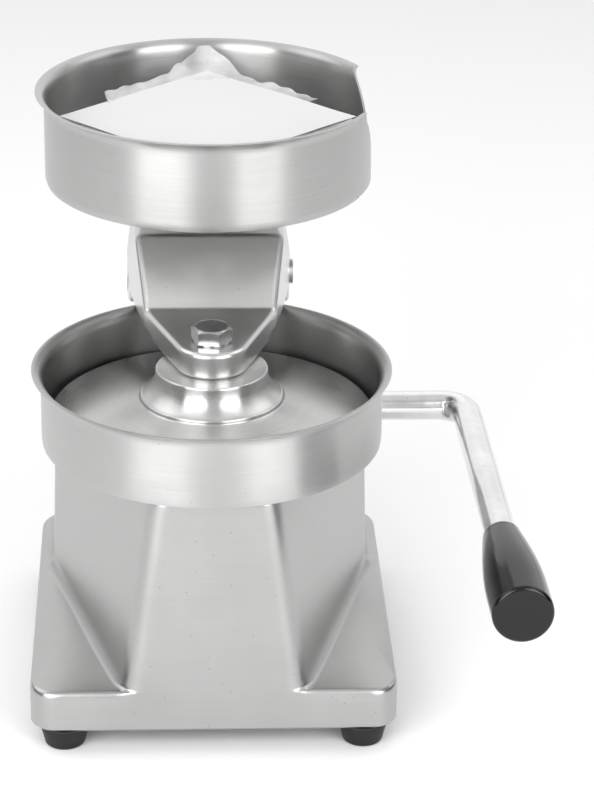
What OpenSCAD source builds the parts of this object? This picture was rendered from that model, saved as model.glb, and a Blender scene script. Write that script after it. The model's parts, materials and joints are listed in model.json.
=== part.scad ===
// Bench patty press: a cast base with a steel mould bowl, a hinged press head that
// carries a paper dish, and a bent crank that opens the head and lifts the ejector plate.
// Millimetres, +Z up, +Y to the back, +X to the crank. Sizes are worked out from the mould's
// axis, and placed() then moves the middle of the whole press to x = 0, y = 0. The feet
// stand on z = 0.

/* [Mould bowl] */
// Inner diameter of the mould bowl, and of the paper dish
mould_d = 150; // [146:1:154]
// Sheet thickness of the bowl and the dish
pan_wall = 1; // [0.8:0.1:1.4]
// Radius of the flared rim
rim_r = 4; // [3:0.5:5]
// Radius between a pan's wall and its floor, outside
pan_corner_r = 3; // [2:0.5:4]
// Height of the mould bowl
bowl_h = 34.5; // [33:0.5:37]
// Height of the bowl's rim above the table
bowl_rim_z = 153; // [150:1:158]

/* [Paper dish] */
// Height of the paper dish
dish_h = 43; // [38:1:48]
// Distance of the dish's centre behind the hinge
dish_back = 5.5; // [2:0.5:8]
// Height of the spacer under the dish
spacer_h = 14; // [10:1:20]
// Diameter of the spacer under the dish
spacer_d = 36; // [30:1:44]
// Half width of the hand notch at the rim
notch_top = 28; // [22:1:32]
// Half width of the hand notch at its foot
notch_foot = 11; // [8:1:14]
// Wall that the notch leaves above the dish's underside
notch_lip = 6; // [4:1:10]
// Side of the square papers
paper_w = 98; // [80:1:102]
// Height of the pile of papers
paper_h = 27; // [10:1:30]

/* [Base casting] */
// Width of the base plate
base_w = 162; // [158:1:168]
// Front of the base plate, ahead of the mould axis
base_front = 76; // [74:1:82]
// Distance of the base plate's back edge behind the crank shaft
back_gap = 8; // [6:0.5:12]
// Height of the base plate's rim
plate_h = 19.5; // [16:0.5:24]
// Corner radius of the base plate
plate_r = 12; // [8:1:16]
// Wall thickness of the casting
cast_wall = 5; // [4:0.5:6]
// How far the front panel leans back at its top
panel_lean = 4; // [2:0.5:5]
// Half width of the front panel at its top
panel_top = 26.5; // [24:0.5:30]
// Half width of the front panel at its foot
panel_foot = 39; // [34:1:42]
// Half width of the column's back part at its top
column_top = 71.5; // [70:0.5:72]
// Half width of the column's back part at its foot
column_foot = 74; // [73:0.5:74.5]
// Where the slanted side walls reach full width, behind the mould axis
column_y = 47; // [40:1:55]
// Corner radius of the column
column_r = 7; // [4:0.5:10]

/* [Feet] */
// Height of the feet below the casting
foot_h = 10.5; // [8:0.5:14]
// Diameter of a foot at its top
foot_d = 22; // [19:0.5:24]
// Diameter of a foot on the table
foot_tip_d = 18; // [15:0.5:19]
// Distance of the feet from the base plate's front and back
foot_inset = 11; // [11:0.5:14]
// Distance of the feet from the base plate's sides
foot_side = 15; // [13:0.5:17]

/* [Press head] */
// Radial clearance of the press disc in the bowl
disc_gap = 3; // [2.8:0.1:4]
// Thickness of the press disc's edge
disc_edge = 3.5; // [2.5:0.5:4]
// Gap between the closed press disc and the ejector plate
patty_gap = 5; // [4.5:0.5:6]
// Radius of the hub's top
hub_r = 24.8; // [22:0.2:28]
// Radius of the hub's foot
hub_foot_r = 32.3; // [30:0.1:36]
// Height of the cone from the disc's edge to the hub's foot
disc_rise = 7.5; // [5:0.5:9]
// Radius of the arm's nose
nose_r = 16.4; // [15:0.2:18]
// Thickness of the arm's nose
nose_h = 12.4; // [11:0.1:14]
// Half width of the arm where its front face starts
arm_step_hw = 30; // [28:0.5:31]
// Where the arm's front face starts, behind the mould axis
arm_step_y = 36.6; // [34:0.2:40]
// Half width of the arm at its hinge
arm_hinge_hw = 38.4; // [37:0.2:40]
// Half width of the arm's top
arm_top_hw = 34.5; // [33:0.5:36]
// Where the arm's front face ends, behind the mould axis
arm_brow_y = 61; // [56:1:66]
// Height of the arm's top above its underside
arm_h = 39.3; // [37:0.1:42]
// Overhang of the arm behind the hinge
arm_back = 32; // [30:1:34]
// Thread size of the press bolt
bolt_d = 10; // [8:1:12]

/* [Hinge and link] */
// Distance of the hinge pin and of the crank shaft behind the bowl's rim
hinge_gap = 16; // [15:0.5:18]
// Height of the hinge pin above the bowl's rim
hinge_rise = 6.7; // [6:0.1:8]
// Diameter of the hinge pin
hinge_d = 10; // [8:0.5:12]
// Radius of the hinge post's eye
eye_r = 11; // [9:0.5:11.5]
// Width of the hinge post
post_w = 39; // [34:1:42]
// Reach of the link pins behind the hinge and the shaft
link_reach = 28; // [27:0.5:30]
// Rise of the link pins above the hinge and the shaft
link_rise = 9; // [7:0.5:11]
// Diameter of the link pins
link_pin_d = 8; // [6:0.5:9]
// Thickness of each link plate
link_t = 4; // [3:0.5:5]
// Thickness of the lugs between the link plates
lug_t = 10; // [8:0.5:12]

/* [Crank] */
// Diameter of the crank bar
bar_d = 14; // [13:0.1:15]
// Height of the crank shaft above the table
shaft_z = 89.8; // [88:0.2:92]
// Distance of the crank's arm from the mould axis
crank_x = 124; // [118:0.5:135]
// Angle by which the crank's arm splays outwards
lever_splay = 1.2; // [0.5:0.1:3]
// Bend radius of the crank bar
bend_r = 13; // [12:0.5:18]
// Distance of the grip's end ahead of the mould axis
crank_front = 120; // [110:1:135]
// Length of the grip
grip_l = 72; // [65:1:90]
// Diameter of the grip's end
grip_d = 26.5; // [24:0.5:28]
// Diameter of the grip's neck
grip_neck_d = 17.5; // [16.5:0.5:20]
// Wall of the shaft's bushes
bush_wall = 3; // [2:0.5:3.5]
// Length of the lifting arm
lift_l = 28; // [27:0.5:29]

/* [Ejector] */
// Thickness of the ejector plate
eject_t = 2.5; // [2:0.5:3]
// Radial clearance of the ejector plate in the bowl
eject_gap = 2; // [1.5:0.5:3]
// Diameter of the ejector stem
stem_d = 16; // [14:0.5:18]
// Width of the lifting bracket
bracket_w = 26; // [20:1:30]
// Thickness of the lifting bracket
bracket_t = 5; // [4:0.5:6]

/* [Clearances] */
// Gap between faces that slide or turn past each other
slip = 0.3; // [0.2:0.05:0.5]
// Radial clearance of a pin or shaft that turns in its hole
run_gap = 0.05; // [0.03:0.01:0.08]
// Radial clearance of the open pin at the link's foot
open_gap = 0.1; // [0.08:0.01:0.15]
// Radial clearance of a screw in a plain hole
screw_gap = 0.4; // [0.2:0.1:0.6]

/* [Hidden] */
$fn = 72;

// Full swing of the crank and of the head, in degrees
swing = 65;
// Angle of the lifting arm below the horizontal when the press is closed
lift_dip = 45;
// Travel of the ejector over the full swing
lift_travel = lift_l * (sin(lift_dip) + sin(swing - lift_dip));

mould_r = mould_d / 2;
pan_r = mould_r + pan_wall;
bowl_z = bowl_rim_z - bowl_h;
hinge_y = pan_r + rim_r + hinge_gap;
dish_y = hinge_y + dish_back;
base_back = hinge_y + back_gap;
floor_z = bowl_z + pan_wall;
eject_z = floor_z + slip;
disc_r = mould_r - disc_gap;
disc_z = eject_z + eject_t + patty_gap;
hub_top = bowl_rim_z - 0.8;
hub_foot_z = disc_z + disc_edge + disc_rise;
washer_t = 1.5;
bolt_washer_t = 0.8;

arm_z = hub_top;
arm_top = arm_z + arm_h;
rim_pass = 2.2;
hinge_z = bowl_rim_z + hinge_rise;
slot_hw = post_w / 2 + slip + 0.2;
roof_gap = 2;
dish_z = arm_top + spacer_h;

plate_z = foot_h;
plate_top = plate_z + plate_h;
deck_t = cast_wall + 1;
column_back = base_back - 2;
boss_r = stem_d / 2 + bush_wall + cast_wall;

nose_tip_r = 6;
lift_y = hinge_y - lift_l * cos(lift_dip);
lift_z = shaft_z - lift_l * sin(lift_dip);
bracket_z = lift_z + nose_tip_r + slip + 0.1;
guide_z = eject_z - 32;
bracket_low = guide_z - lift_travel - 1.2 - bracket_t;
riser_y = boss_r + stem_d;

bush_l = 21;
shaft_left = column_foot - 1.5;
collar_w = 11;

// The middle of the whole press, measured from the mould's axis
bend_c = [crank_x - bend_r, hinge_y - bend_r];
lever_l = bend_c.y + crank_front;
grip_edge = 2;
grip_tip = bend_c + (bend_r + grip_d / 2) * [cos(lever_splay), 0]
  + (lever_l - grip_edge) * [sin(lever_splay), -cos(lever_splay)]
  + [0, (bend_r - grip_d / 2 + grip_edge) * sin(lever_splay) - grip_edge];
origin_x = (grip_tip.x - max(pan_r + rim_r, base_w / 2)) / 2;
origin_y = (dish_y + pan_r + rim_r + grip_tip.y) / 2;
module placed() {
  translate([-origin_x, -origin_y, 0]) children();
}

// Points on an arc round c from angle a0 to a1
function arc(c, r, a0, a1, n = 6) =
  [for (i = [0:n]) let (a = a0 + (a1 - a0) * i / n) c + r * [cos(a), sin(a)]];
function unit(v) = v / norm(v);
// The corner p1 between p0 and p2, rounded with radius r
function corner(p0, p1, p2, r, n = 5) =
  let (
    a = unit(p0 - p1),
    b = unit(p2 - p1),
    half = acos(a * b) / 2,
    c = p1 + unit(a + b) * r / sin(half),
    s = p1 + a * r / tan(half) - c,
    e = p1 + b * r / tan(half) - c,
    a0 = atan2(s.y, s.x),
    turn = (atan2(e.y, e.x) - a0 + 540) % 360 - 180
  ) arc(c, r, a0, a0 + turn, n);
// An outline of [point, radius] pairs with its corners rounded
function rounded(pts) =
  let (n = len(pts))
  [for (i = [0:n - 1])
    each pts[i][1] > 0
      ? corner(pts[(i + n - 1) % n][0], pts[i][0], pts[(i + 1) % n][0], pts[i][1])
      : [pts[i][0]]];
function mirrored(half) =
  concat(half, [for (i = [len(half) - 1:-1:0]) [[-half[i][0].x, half[i][0].y], half[i][1]]]);

// A round bar along X from x0 to x1, centred at height z and depth y
module bar_x(x0, x1, d, y, z) {
  translate([x0, y, z]) rotate([0, 90, 0]) cylinder(h = x1 - x0, d = d);
}

// A plate in the plane of Y and Z, from x0 to x1 thick
module plate_x(x0, x1, pts) {
  translate([x0, 0, 0]) rotate([90, 0, 90]) linear_extrude(x1 - x0) polygon(pts);
}

// Section of a pan with a flared rim and a hole in its floor
function pan_section(h, hole_r) =
  let (
    rim_z = h - rim_r - pan_wall,
    inner_corner = pan_corner_r - pan_wall
  ) concat(
    [[hole_r, 0]],
    arc([pan_r - pan_corner_r, pan_corner_r], pan_corner_r, -90, 0),
    arc([pan_r + rim_r, rim_z], rim_r, 180, 90),
    arc([pan_r + rim_r, rim_z], rim_r + pan_wall, 90, 180),
    arc([mould_r - inner_corner, pan_wall + inner_corner], inner_corner, 0, -90),
    [[hole_r, pan_wall]]
  );
module pan(h, hole_r) {
  rotate_extrude($fn = 128) polygon(pan_section(h, hole_r));
}

// A hexagon head, d across flats
module hex(d, h) {
  cylinder(h = h, d = d / cos(30), $fn = 6);
}

// Outline of the column at a height, with the given half widths
function column_outline(front, side, inset = 0, lean = 0) = rounded(mirrored([
  [[front - inset * 0.9, -base_front + inset + lean], max(column_r - inset, 1)],
  [[side - inset, column_y], 20],
  [[side - inset, column_back - inset], max(column_r - inset, 1)]
]));
function plate_outline(inset = 0) = rounded(mirrored([
  [[base_w / 2 - inset, -base_front + inset], max(plate_r - inset, 1)],
  [[base_w / 2 - inset, base_back - inset], max(plate_r - inset, 1)]
]));

// The tapered column, drawn in by inset and from its foot at z0 to its top at z1
module column_body(z0, z1, inset) {
  hull() {
    translate([0, 0, z0]) linear_extrude(0.01) polygon(column_outline(panel_foot, column_foot, inset));
    translate([0, 0, z1 - 0.01]) linear_extrude(0.01)
      polygon(column_outline(panel_top, column_top, inset, panel_lean));
  }
}

foot_places = [
  for (x = [-1, 1], y = [-base_front + foot_inset, base_back - foot_inset])
    [x * (base_w / 2 - foot_side), y]
];
foot_screw_d = 5;
foot_boss_d = 21;

bowl_screw_d = 4;
bowl_screw_r = 48;
bowl_screw_angles = [45, 135, 225, 315];
bowl_screw_l = 10;

post_screw_d = 6;
post_screw_x = 28;
post_screw_y = hinge_y - 5;
post_screw_l = 18;
post_flange_t = 7;
post_flange_hw = 36;
post_front = pan_r + rim_r + 3;
post_back = hinge_y + 4;

// The casting is open at the back between its two shaft bosses
window_hw = column_top - bush_l;
window_z0 = plate_top + cast_wall + 2;

module base_casting() color("silver") placed()
  difference() {
    union() {
      difference() {
        union() {
          translate([0, 0, plate_z]) linear_extrude(plate_h) polygon(plate_outline());
          column_body(plate_top - 0.5, bowl_z, 0);
        }
        translate([0, 0, plate_z - 1]) linear_extrude(plate_h - cast_wall + 1)
          polygon(plate_outline(cast_wall));
        column_body(plate_z - 1, bowl_z - deck_t, cast_wall);
      }
      translate([0, 0, guide_z]) cylinder(h = bowl_z - guide_z - 1, r = boss_r);
      for (p = foot_places)
        translate([p.x, p.y, plate_z]) cylinder(h = plate_h - 1, d = foot_boss_d);
      for (s = [-1, 1]) {
        bar_x(s > 0 ? column_top - bush_l : -column_top + 0.5,
          s > 0 ? column_top - 0.5 : -column_top + bush_l,
          bar_d + 2 * bush_wall + 2 * cast_wall, hinge_y, shaft_z);
        translate([s * post_screw_x, post_screw_y, bowl_z - post_screw_l])
          cylinder(h = post_screw_l - 1, d = post_screw_d + 2 * cast_wall);
      }
    }
    translate([0, 0, guide_z - 1]) cylinder(h = bowl_z - guide_z + 2, d = stem_d + 2 * bush_wall);
    for (s = [-1, 1])
      bar_x(s > 0 ? window_hw - 1 : -base_w, s > 0 ? base_w : -window_hw + 1,
        bar_d + 2 * bush_wall, hinge_y, shaft_z);
    translate([-window_hw, column_back - cast_wall - 3, window_z0])
      cube([2 * window_hw, cast_wall + 10, bowl_z - deck_t - window_z0]);
    for (p = foot_places)
      translate([p.x, p.y, plate_z - 1]) cylinder(h = foot_screw_l + 1, d = foot_screw_d);
    for (a = bowl_screw_angles)
      rotate(a) translate([bowl_screw_r, 0, bowl_z - bowl_screw_l])
        cylinder(h = bowl_screw_l + 1, d = bowl_screw_d);
    for (s = [-1, 1])
      translate([s * post_screw_x, post_screw_y, bowl_z - post_screw_l + 3])
        cylinder(h = post_screw_l, d = post_screw_d);
  }

module mould_bowl() color("gainsboro") placed()
  translate([0, 0, bowl_z]) difference() {
    pan(bowl_h, stem_d / 2 + 2);
    for (a = bowl_screw_angles)
      rotate(a) translate([bowl_screw_r, 0, -1])
        cylinder(h = pan_wall + 2, d1 = bowl_screw_d - 1, d2 = bowl_screw_d + 2 * pan_wall + 3);
  }

// Flush countersunk screws in the bowl's floor
module bowl_screws() color("lightgray") placed()
  for (a = bowl_screw_angles)
    rotate(a) translate([bowl_screw_r, 0, bowl_z]) union() {
      translate([0, 0, -bowl_screw_l + 2]) cylinder(h = bowl_screw_l - 2, d = bowl_screw_d);
      cylinder(h = pan_wall, d1 = bowl_screw_d + 1, d2 = bowl_screw_d + 2 * pan_wall + 1);
    }

module guide_bush() color("peru") placed()
  translate([0, 0, guide_z]) difference() {
    cylinder(h = bowl_z - guide_z, d = stem_d + 2 * bush_wall);
    translate([0, 0, -1]) cylinder(h = bowl_z - guide_z + 2, d = stem_d + 2 * run_gap);
  }

module shaft_bushes() color("peru") placed()
  for (s = [-1, 1])
    difference() {
      bar_x(s > 0 ? column_top - bush_l : -column_top, s > 0 ? column_top : -column_top + bush_l,
        bar_d + 2 * bush_wall, hinge_y, shaft_z);
      bar_x(-base_w, base_w, bar_d + 2 * run_gap, hinge_y, shaft_z);
    }

module hinge_post() color("silver") placed()
  difference() {
    union() {
      translate([-post_flange_hw, post_front, bowl_z])
        cube([2 * post_flange_hw, column_back - 1 - post_front, post_flange_t]);
      plate_x(-post_w / 2, post_w / 2, [
        [post_front, bowl_z + 1], [column_back - 1, bowl_z + 1], [post_back, hinge_z - eye_r - 6],
        [post_back, hinge_z], [hinge_y - eye_r, hinge_z], [post_front, hinge_z - 2]
      ]);
      bar_x(-post_w / 2, post_w / 2, 2 * eye_r, hinge_y, hinge_z);
    }
    bar_x(-post_w, post_w, hinge_d, hinge_y, hinge_z);
    for (s = [-1, 1])
      translate([s * post_screw_x, post_screw_y, bowl_z - 1])
        cylinder(h = post_flange_t + 2, d = post_screw_d + 2 * screw_gap);
  }

// Socket-head screws that hold the hinge post on the casting
module post_screws() color("dimgray") placed()
  for (s = [-1, 1])
    translate([s * post_screw_x, post_screw_y, bowl_z]) difference() {
      union() {
        translate([0, 0, -post_screw_l + 5]) cylinder(h = post_screw_l - 4, d = post_screw_d);
        cylinder(h = post_flange_t, d = post_screw_d);
        translate([0, 0, post_flange_t]) cylinder(h = post_screw_d, d = 1.6 * post_screw_d);
      }
      translate([0, 0, post_flange_t + post_screw_d / 2]) hex(0.8 * post_screw_d, post_screw_d);
    }

pin_head = 3;
ring_t = 1.2;
ring_sink = 3.4;
head_sink = 2;
module hinge_pin() color("gainsboro") placed()
  union() {
    bar_x(ring_sink - arm_hinge_hw - slip - ring_t - 1.5, arm_hinge_hw - head_sink + slip + 0.5,
      hinge_d, hinge_y, hinge_z);
    bar_x(arm_hinge_hw - head_sink + slip, arm_hinge_hw - head_sink + slip + pin_head,
      hinge_d + 2, hinge_y, hinge_z);
  }

// Retaining ring at the pin's free end
module hinge_ring() color("dimgray") placed()
  difference() {
    bar_x(ring_sink - arm_hinge_hw - slip - ring_t, ring_sink - arm_hinge_hw - slip, hinge_d + 6,
      hinge_y, hinge_z);
    bar_x(-base_w, base_w, hinge_d, hinge_y, hinge_z);
  }

foot_cup = 4;
foot_screw_l = 12;
foot_web = 3.5;
module feet() color("black") placed()
  for (p = foot_places)
    translate([p.x, p.y, 0]) difference() {
      cylinder(h = foot_h, d1 = foot_tip_d, d2 = foot_d);
      translate([0, 0, -1]) cylinder(h = foot_cup + 1, d = 2 * foot_screw_d);
      cylinder(h = foot_h + 1, d = foot_screw_d + 2 * screw_gap);
    }

module feet_screws() color("lightgray") placed()
  for (p = foot_places)
    translate([p.x, p.y, 0]) union() {
      translate([0, 0, foot_cup - 2.5]) cylinder(h = 2.5, d = 1.8 * foot_screw_d);
      translate([0, 0, foot_cup]) cylinder(h = foot_h - foot_cup + foot_screw_l - 1, d = foot_screw_d);
    }

// Crank
grip_bore = grip_l - 22;
leg_d = bar_d - 0.04;
module on_leg() translate([bend_c.x, bend_c.y, shaft_z]) rotate(lever_splay)
  translate([bend_r, 0, 0]) children();
module crank_bar() color("whitesmoke") placed()
  union() {
    bar_x(-shaft_left, crank_x - bend_r, bar_d, hinge_y, shaft_z);
    translate([bend_c.x, bend_c.y, shaft_z])
      rotate_extrude(angle = 90) translate([bend_r, 0]) circle(d = bar_d);
    on_leg() translate([0, 0.5, 0]) rotate([90, 0, 0])
      cylinder(h = lever_l - grip_l + grip_bore + 0.5, d = leg_d);
  }

// Radius of the grip at a share t of its length from the neck
function grip_radius(t) = (grip_neck_d + (grip_d - grip_neck_d) * sin(90 * min(1, t * 1.35))) / 2;
module crank_grip() color("black") placed()
  on_leg() translate([0, grip_l - lever_l, 0]) rotate([90, 0, 0])
    rotate_extrude() polygon(concat(
      [[leg_d / 2, 0]],
      [for (i = [0:12]) [grip_radius(i / 12 * (1 - grip_edge / grip_l)), i / 12 * (grip_l - grip_edge)]],
      arc([grip_d / 2 - grip_edge, grip_l - grip_edge], grip_edge, 0, 90),
      [[0, grip_l], [0, grip_bore], [leg_d / 2, grip_bore]]
    ));

rocker_hub_r = 12.5;
rocker_hub_hw = 16;
rocker_nose_hw = 8;
rocker_screw_d = 6;
link_eye_r = 8;
module rocker() color("silver") placed()
  difference() {
    union() {
      bar_x(-rocker_hub_hw, rocker_hub_hw, 2 * rocker_hub_r, hinge_y, shaft_z);
      hull() {
        bar_x(-rocker_nose_hw, rocker_nose_hw, 2 * nose_tip_r, lift_y, lift_z, $fn = 32);
        bar_x(-rocker_nose_hw, rocker_nose_hw, 1.9 * nose_tip_r, hinge_y, shaft_z, $fn = 32);
      }
      bar_x(-rocker_nose_hw, rocker_nose_hw, 2 * nose_tip_r, lift_y, lift_z);
      hull() {
        bar_x(-lug_t / 2, lug_t / 2, 1.9 * link_eye_r, hinge_y + link_reach, shaft_z + link_rise, $fn = 32);
        bar_x(-lug_t / 2, lug_t / 2, 1.5 * rocker_hub_r, hinge_y, shaft_z, $fn = 32);
      }
      bar_x(-lug_t / 2, lug_t / 2, 2 * link_eye_r, hinge_y + link_reach, shaft_z + link_rise);
    }
    bar_x(-base_w, base_w, bar_d, hinge_y, shaft_z);
    bar_x(-lug_t, lug_t, link_pin_d + 2 * open_gap, hinge_y + link_reach, shaft_z + link_rise);
    translate([rocker_hub_hw - rocker_screw_d / 2 - 2, hinge_y, shaft_z])
      cylinder(h = rocker_hub_r + 1, d = rocker_screw_d);
  }

// Set screw that locks the rocker on the shaft
module rocker_screw() color("dimgray") placed()
  translate([rocker_hub_hw - rocker_screw_d / 2 - 2, hinge_y, shaft_z + bar_d / 2]) difference() {
    cylinder(h = rocker_hub_r - bar_d / 2 - 0.5, d = rocker_screw_d);
    translate([0, 0, rocker_hub_r - bar_d / 2 - 3.5]) hex(0.5 * rocker_screw_d, 4);
  }

collar_r = 12;
collar_x = column_top - bush_l - slip - collar_w;
collar_screw_d = 5;
module shaft_collar() color("gray") placed()
  difference() {
    bar_x(collar_x, collar_x + collar_w, 2 * collar_r, hinge_y, shaft_z);
    bar_x(-base_w, base_w, bar_d, hinge_y, shaft_z);
    translate([collar_x + collar_w / 2, hinge_y, shaft_z]) cylinder(h = collar_r + 1, d = collar_screw_d);
  }

module collar_screw() color("dimgray") placed()
  translate([collar_x + collar_w / 2, hinge_y, shaft_z + bar_d / 2]) difference() {
    cylinder(h = collar_r - bar_d / 2 - 0.5, d = collar_screw_d);
    translate([0, 0, collar_r - bar_d / 2 - 3]) hex(0.5 * collar_screw_d, 3);
  }

// Press head
arm_bottom = arm_z;
arm_end = hinge_y + arm_back;
cheek_r = eye_r + 2;
arm_tail_hw = arm_hinge_hw - 4;
arm_plan = concat(
  arc([0, 0], nose_r, -90 - 68, -90 + 68, 16),
  rounded([
    [[arm_step_hw, arm_step_y], 0],
    [[arm_top_hw, arm_brow_y + 2], 30],
    [[arm_hinge_hw, hinge_y - 4], 20],
    [[arm_hinge_hw, hinge_y + cheek_r], 4],
    [[arm_tail_hw, arm_end], 6],
    [[-arm_tail_hw, arm_end], 6],
    [[-arm_hinge_hw, hinge_y + cheek_r], 4],
    [[-arm_hinge_hw, hinge_y - 4], 20],
    [[-arm_top_hw, arm_brow_y + 2], 30],
    [[-arm_step_hw, arm_step_y], 0]
  ])
);
arm_side = rounded([
  [[-nose_r - 1, arm_bottom], 0],
  [[nose_r * 1.6, arm_bottom], 0],
  [[nose_r * 1.6 + 3, arm_bottom + rim_pass], 0],
  [[post_front - 1, arm_bottom + rim_pass], 0],
  [[hinge_y - cheek_r * 0.6, hinge_z - cheek_r], 4],
  [[hinge_y + cheek_r * 0.5, hinge_z - cheek_r], 4],
  [[arm_end, hinge_z + 4], 4],
  [[arm_end, arm_top], 8],
  [[arm_brow_y, arm_top], 4],
  [[arm_step_y, arm_bottom + nose_h], 3],
  [[-nose_r - 1, arm_bottom + nose_h], 0]
]);
arm_front = rounded(mirrored([
  [[arm_hinge_hw + 1, arm_bottom - 20], 0],
  [[arm_hinge_hw + 1, arm_bottom + nose_h], 0],
  [[arm_top_hw, arm_top - 4], 0],
  [[arm_top_hw - 5, arm_top], 3]
]));
spacer_screw_d = 8;
roof_z = hinge_z + eye_r + roof_gap;
tail_y = hinge_y + link_reach;
tail_z = hinge_z + link_rise;
tail_roof_z = tail_z + link_eye_r + 0.8;

module press_arm() color("silver") placed()
  difference() {
    union() {
      difference() {
        intersection() {
          translate([0, 0, arm_bottom - 20]) linear_extrude(arm_h + 40) polygon(arm_plan);
          plate_x(-arm_hinge_hw - 1, arm_hinge_hw + 1, arm_side);
          rotate([90, 0, 0]) translate([0, 0, -arm_end - 1]) linear_extrude(arm_end + nose_r + 3)
            polygon(arm_front);
        }
        translate([-slot_hw, post_front - 3, arm_bottom - 20])
          cube([2 * slot_hw, arm_end, roof_z - arm_bottom + 20]);
        translate([-slot_hw, tail_y - link_eye_r - roof_gap, arm_bottom - 20])
          cube([2 * slot_hw, arm_end, tail_roof_z - arm_bottom + 20]);
      }
      plate_x(-lug_t / 2, lug_t / 2, [
        [tail_y - link_eye_r, tail_z], [tail_y + link_eye_r, tail_z],
        [tail_y + link_eye_r, tail_z + 3], [arm_end - 3, tail_roof_z + 2],
        [tail_y - link_eye_r, tail_roof_z + 2]
      ]);
      bar_x(-lug_t / 2, lug_t / 2, 2 * link_eye_r, tail_y, tail_z);
    }
    bar_x(-base_w, base_w, hinge_d + 2 * run_gap, hinge_y, hinge_z);
    bar_x(-arm_hinge_hw - 2, ring_sink - arm_hinge_hw, hinge_d + 8, hinge_y, hinge_z);
    bar_x(arm_hinge_hw - head_sink, arm_hinge_hw + 2, hinge_d + 3, hinge_y, hinge_z);
    bar_x(-lug_t, lug_t, link_pin_d + 2 * run_gap, tail_y, tail_z);
    translate([0, 0, arm_bottom - 1]) cylinder(h = nose_h + 2, d = bolt_d + 2 * screw_gap);
    translate([0, dish_y, roof_z - 5]) cylinder(h = arm_top, d = spacer_screw_d);
  }

bolt_l = nose_h + bolt_washer_t + 14;
module press_disc() color("gainsboro") placed()
  difference() {
    rotate_extrude($fn = 128) polygon(concat(
      [[0, disc_z], [disc_r - 1.5, disc_z], [disc_r, disc_z + 1.5], [disc_r, disc_z + disc_edge - 0.5],
       [disc_r - 0.5, disc_z + disc_edge]],
      [for (i = [0:8])
        let (t = i / 8)
        [hub_foot_r + (hub_r - hub_foot_r) * sin(90 * t) ^ 0.9,
         hub_foot_z + (hub_top - hub_foot_z - 0.6) * (1 - cos(90 * t)) ^ 0.7]],
      [[hub_r - 0.6, hub_top], [0, hub_top]]
    ));
    translate([0, 0, hub_top - 16]) cylinder(h = 20, d = bolt_d);
  }

module press_washer() color("lightgray") placed()
  translate([0, 0, arm_bottom + nose_h]) difference() {
    cylinder(h = bolt_washer_t, d = bolt_flats);
    translate([0, 0, -1]) cylinder(h = bolt_washer_t + 2, d = bolt_d + 2 * screw_gap);
  }

bolt_flats = 1.6 * bolt_d;
bolt_head = 0.64 * bolt_d;
module press_bolt() color("lightgray") placed()
  translate([0, 0, arm_bottom + nose_h + bolt_washer_t]) union() {
    rotate(49) hex(bolt_flats, bolt_head - 0.4);
    cylinder(h = bolt_head, d = 0.95 * bolt_flats);
    translate([0, 0, -bolt_l]) cylinder(h = bolt_l, d = bolt_d);
  }

module dish_spacer() color("silver") placed()
  translate([0, dish_y, arm_top]) difference() {
    cylinder(h = spacer_h, d = spacer_d);
    translate([0, 0, -1]) cylinder(h = spacer_h + 2, d = spacer_screw_d + 2 * screw_gap);
  }

// Outline of the hand notch, across the wall and up from the dish's underside
notch_steps = 8;
notch_right = [for (i = [0:notch_steps])
  let (t = i / notch_steps)
  [notch_foot + (notch_top - notch_foot) * t ^ 1.3,
   notch_lip + notch_foot + (dish_h - rim_r - notch_lip - notch_foot) * t]];
notch_outline = concat(
  arc([0, notch_lip + notch_foot], notch_foot, -90, -8),
  notch_right,
  [[notch_top + 2 * rim_r, dish_h + 1]],
  [[-notch_top - 2 * rim_r, dish_h + 1]],
  [for (i = [notch_steps:-1:0]) [-notch_right[i].x, notch_right[i].y]],
  arc([0, notch_lip + notch_foot], notch_foot, 188, 262)
);
module paper_dish() color("gainsboro") placed()
  translate([0, dish_y, dish_z]) difference() {
    pan(dish_h, spacer_screw_d / 2 + screw_gap);
    translate([mould_r / 2, 0, 0]) rotate([90, 0, 90]) linear_extrude(mould_d) polygon(notch_outline);
  }

dish_head_d = 18;
dish_head_h = 3;
dish_screw_l = spacer_h + 12;
module dish_screw() color("lightgray") placed()
  translate([0, dish_y, dish_z + pan_wall]) difference() {
    union() {
      cylinder(h = dish_head_h, d1 = dish_head_d, d2 = dish_head_d - 2);
      translate([0, 0, -dish_screw_l]) cylinder(h = dish_screw_l + 1, d = spacer_screw_d);
    }
    translate([0, 0, dish_head_h - 2]) hex(5, 3);
  }

module paper_stack() color("white") placed()
  translate([0, dish_y, dish_z + pan_wall]) rotate(45) difference() {
    translate([-paper_w / 2, -paper_w / 2, 0]) cube([paper_w, paper_w, paper_h]);
    translate([0, 0, -1]) cylinder(h = dish_head_h + 1.5, d = dish_head_d + 1);
  }

// Link between the head's tail and the rocker
link_shank_hw = link_eye_r - 1.5;
module link_plates() color("lightgray") placed()
  for (s = [-1, 1])
    difference() {
      union() {
        for (z = [tail_z, shaft_z + link_rise])
          bar_x(s > 0 ? lug_t / 2 + slip : -lug_t / 2 - slip - link_t,
            s > 0 ? lug_t / 2 + slip + link_t : -lug_t / 2 - slip, 2 * link_eye_r, tail_y, z);
        translate([s > 0 ? lug_t / 2 + slip : -lug_t / 2 - slip - link_t,
            tail_y - link_shank_hw, shaft_z + link_rise])
          cube([link_t, 2 * link_shank_hw, tail_z - shaft_z - link_rise]);
      }
      for (z = [tail_z, shaft_z + link_rise])
        bar_x(-base_w, base_w, link_pin_d, tail_y, z);
    }

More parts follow.
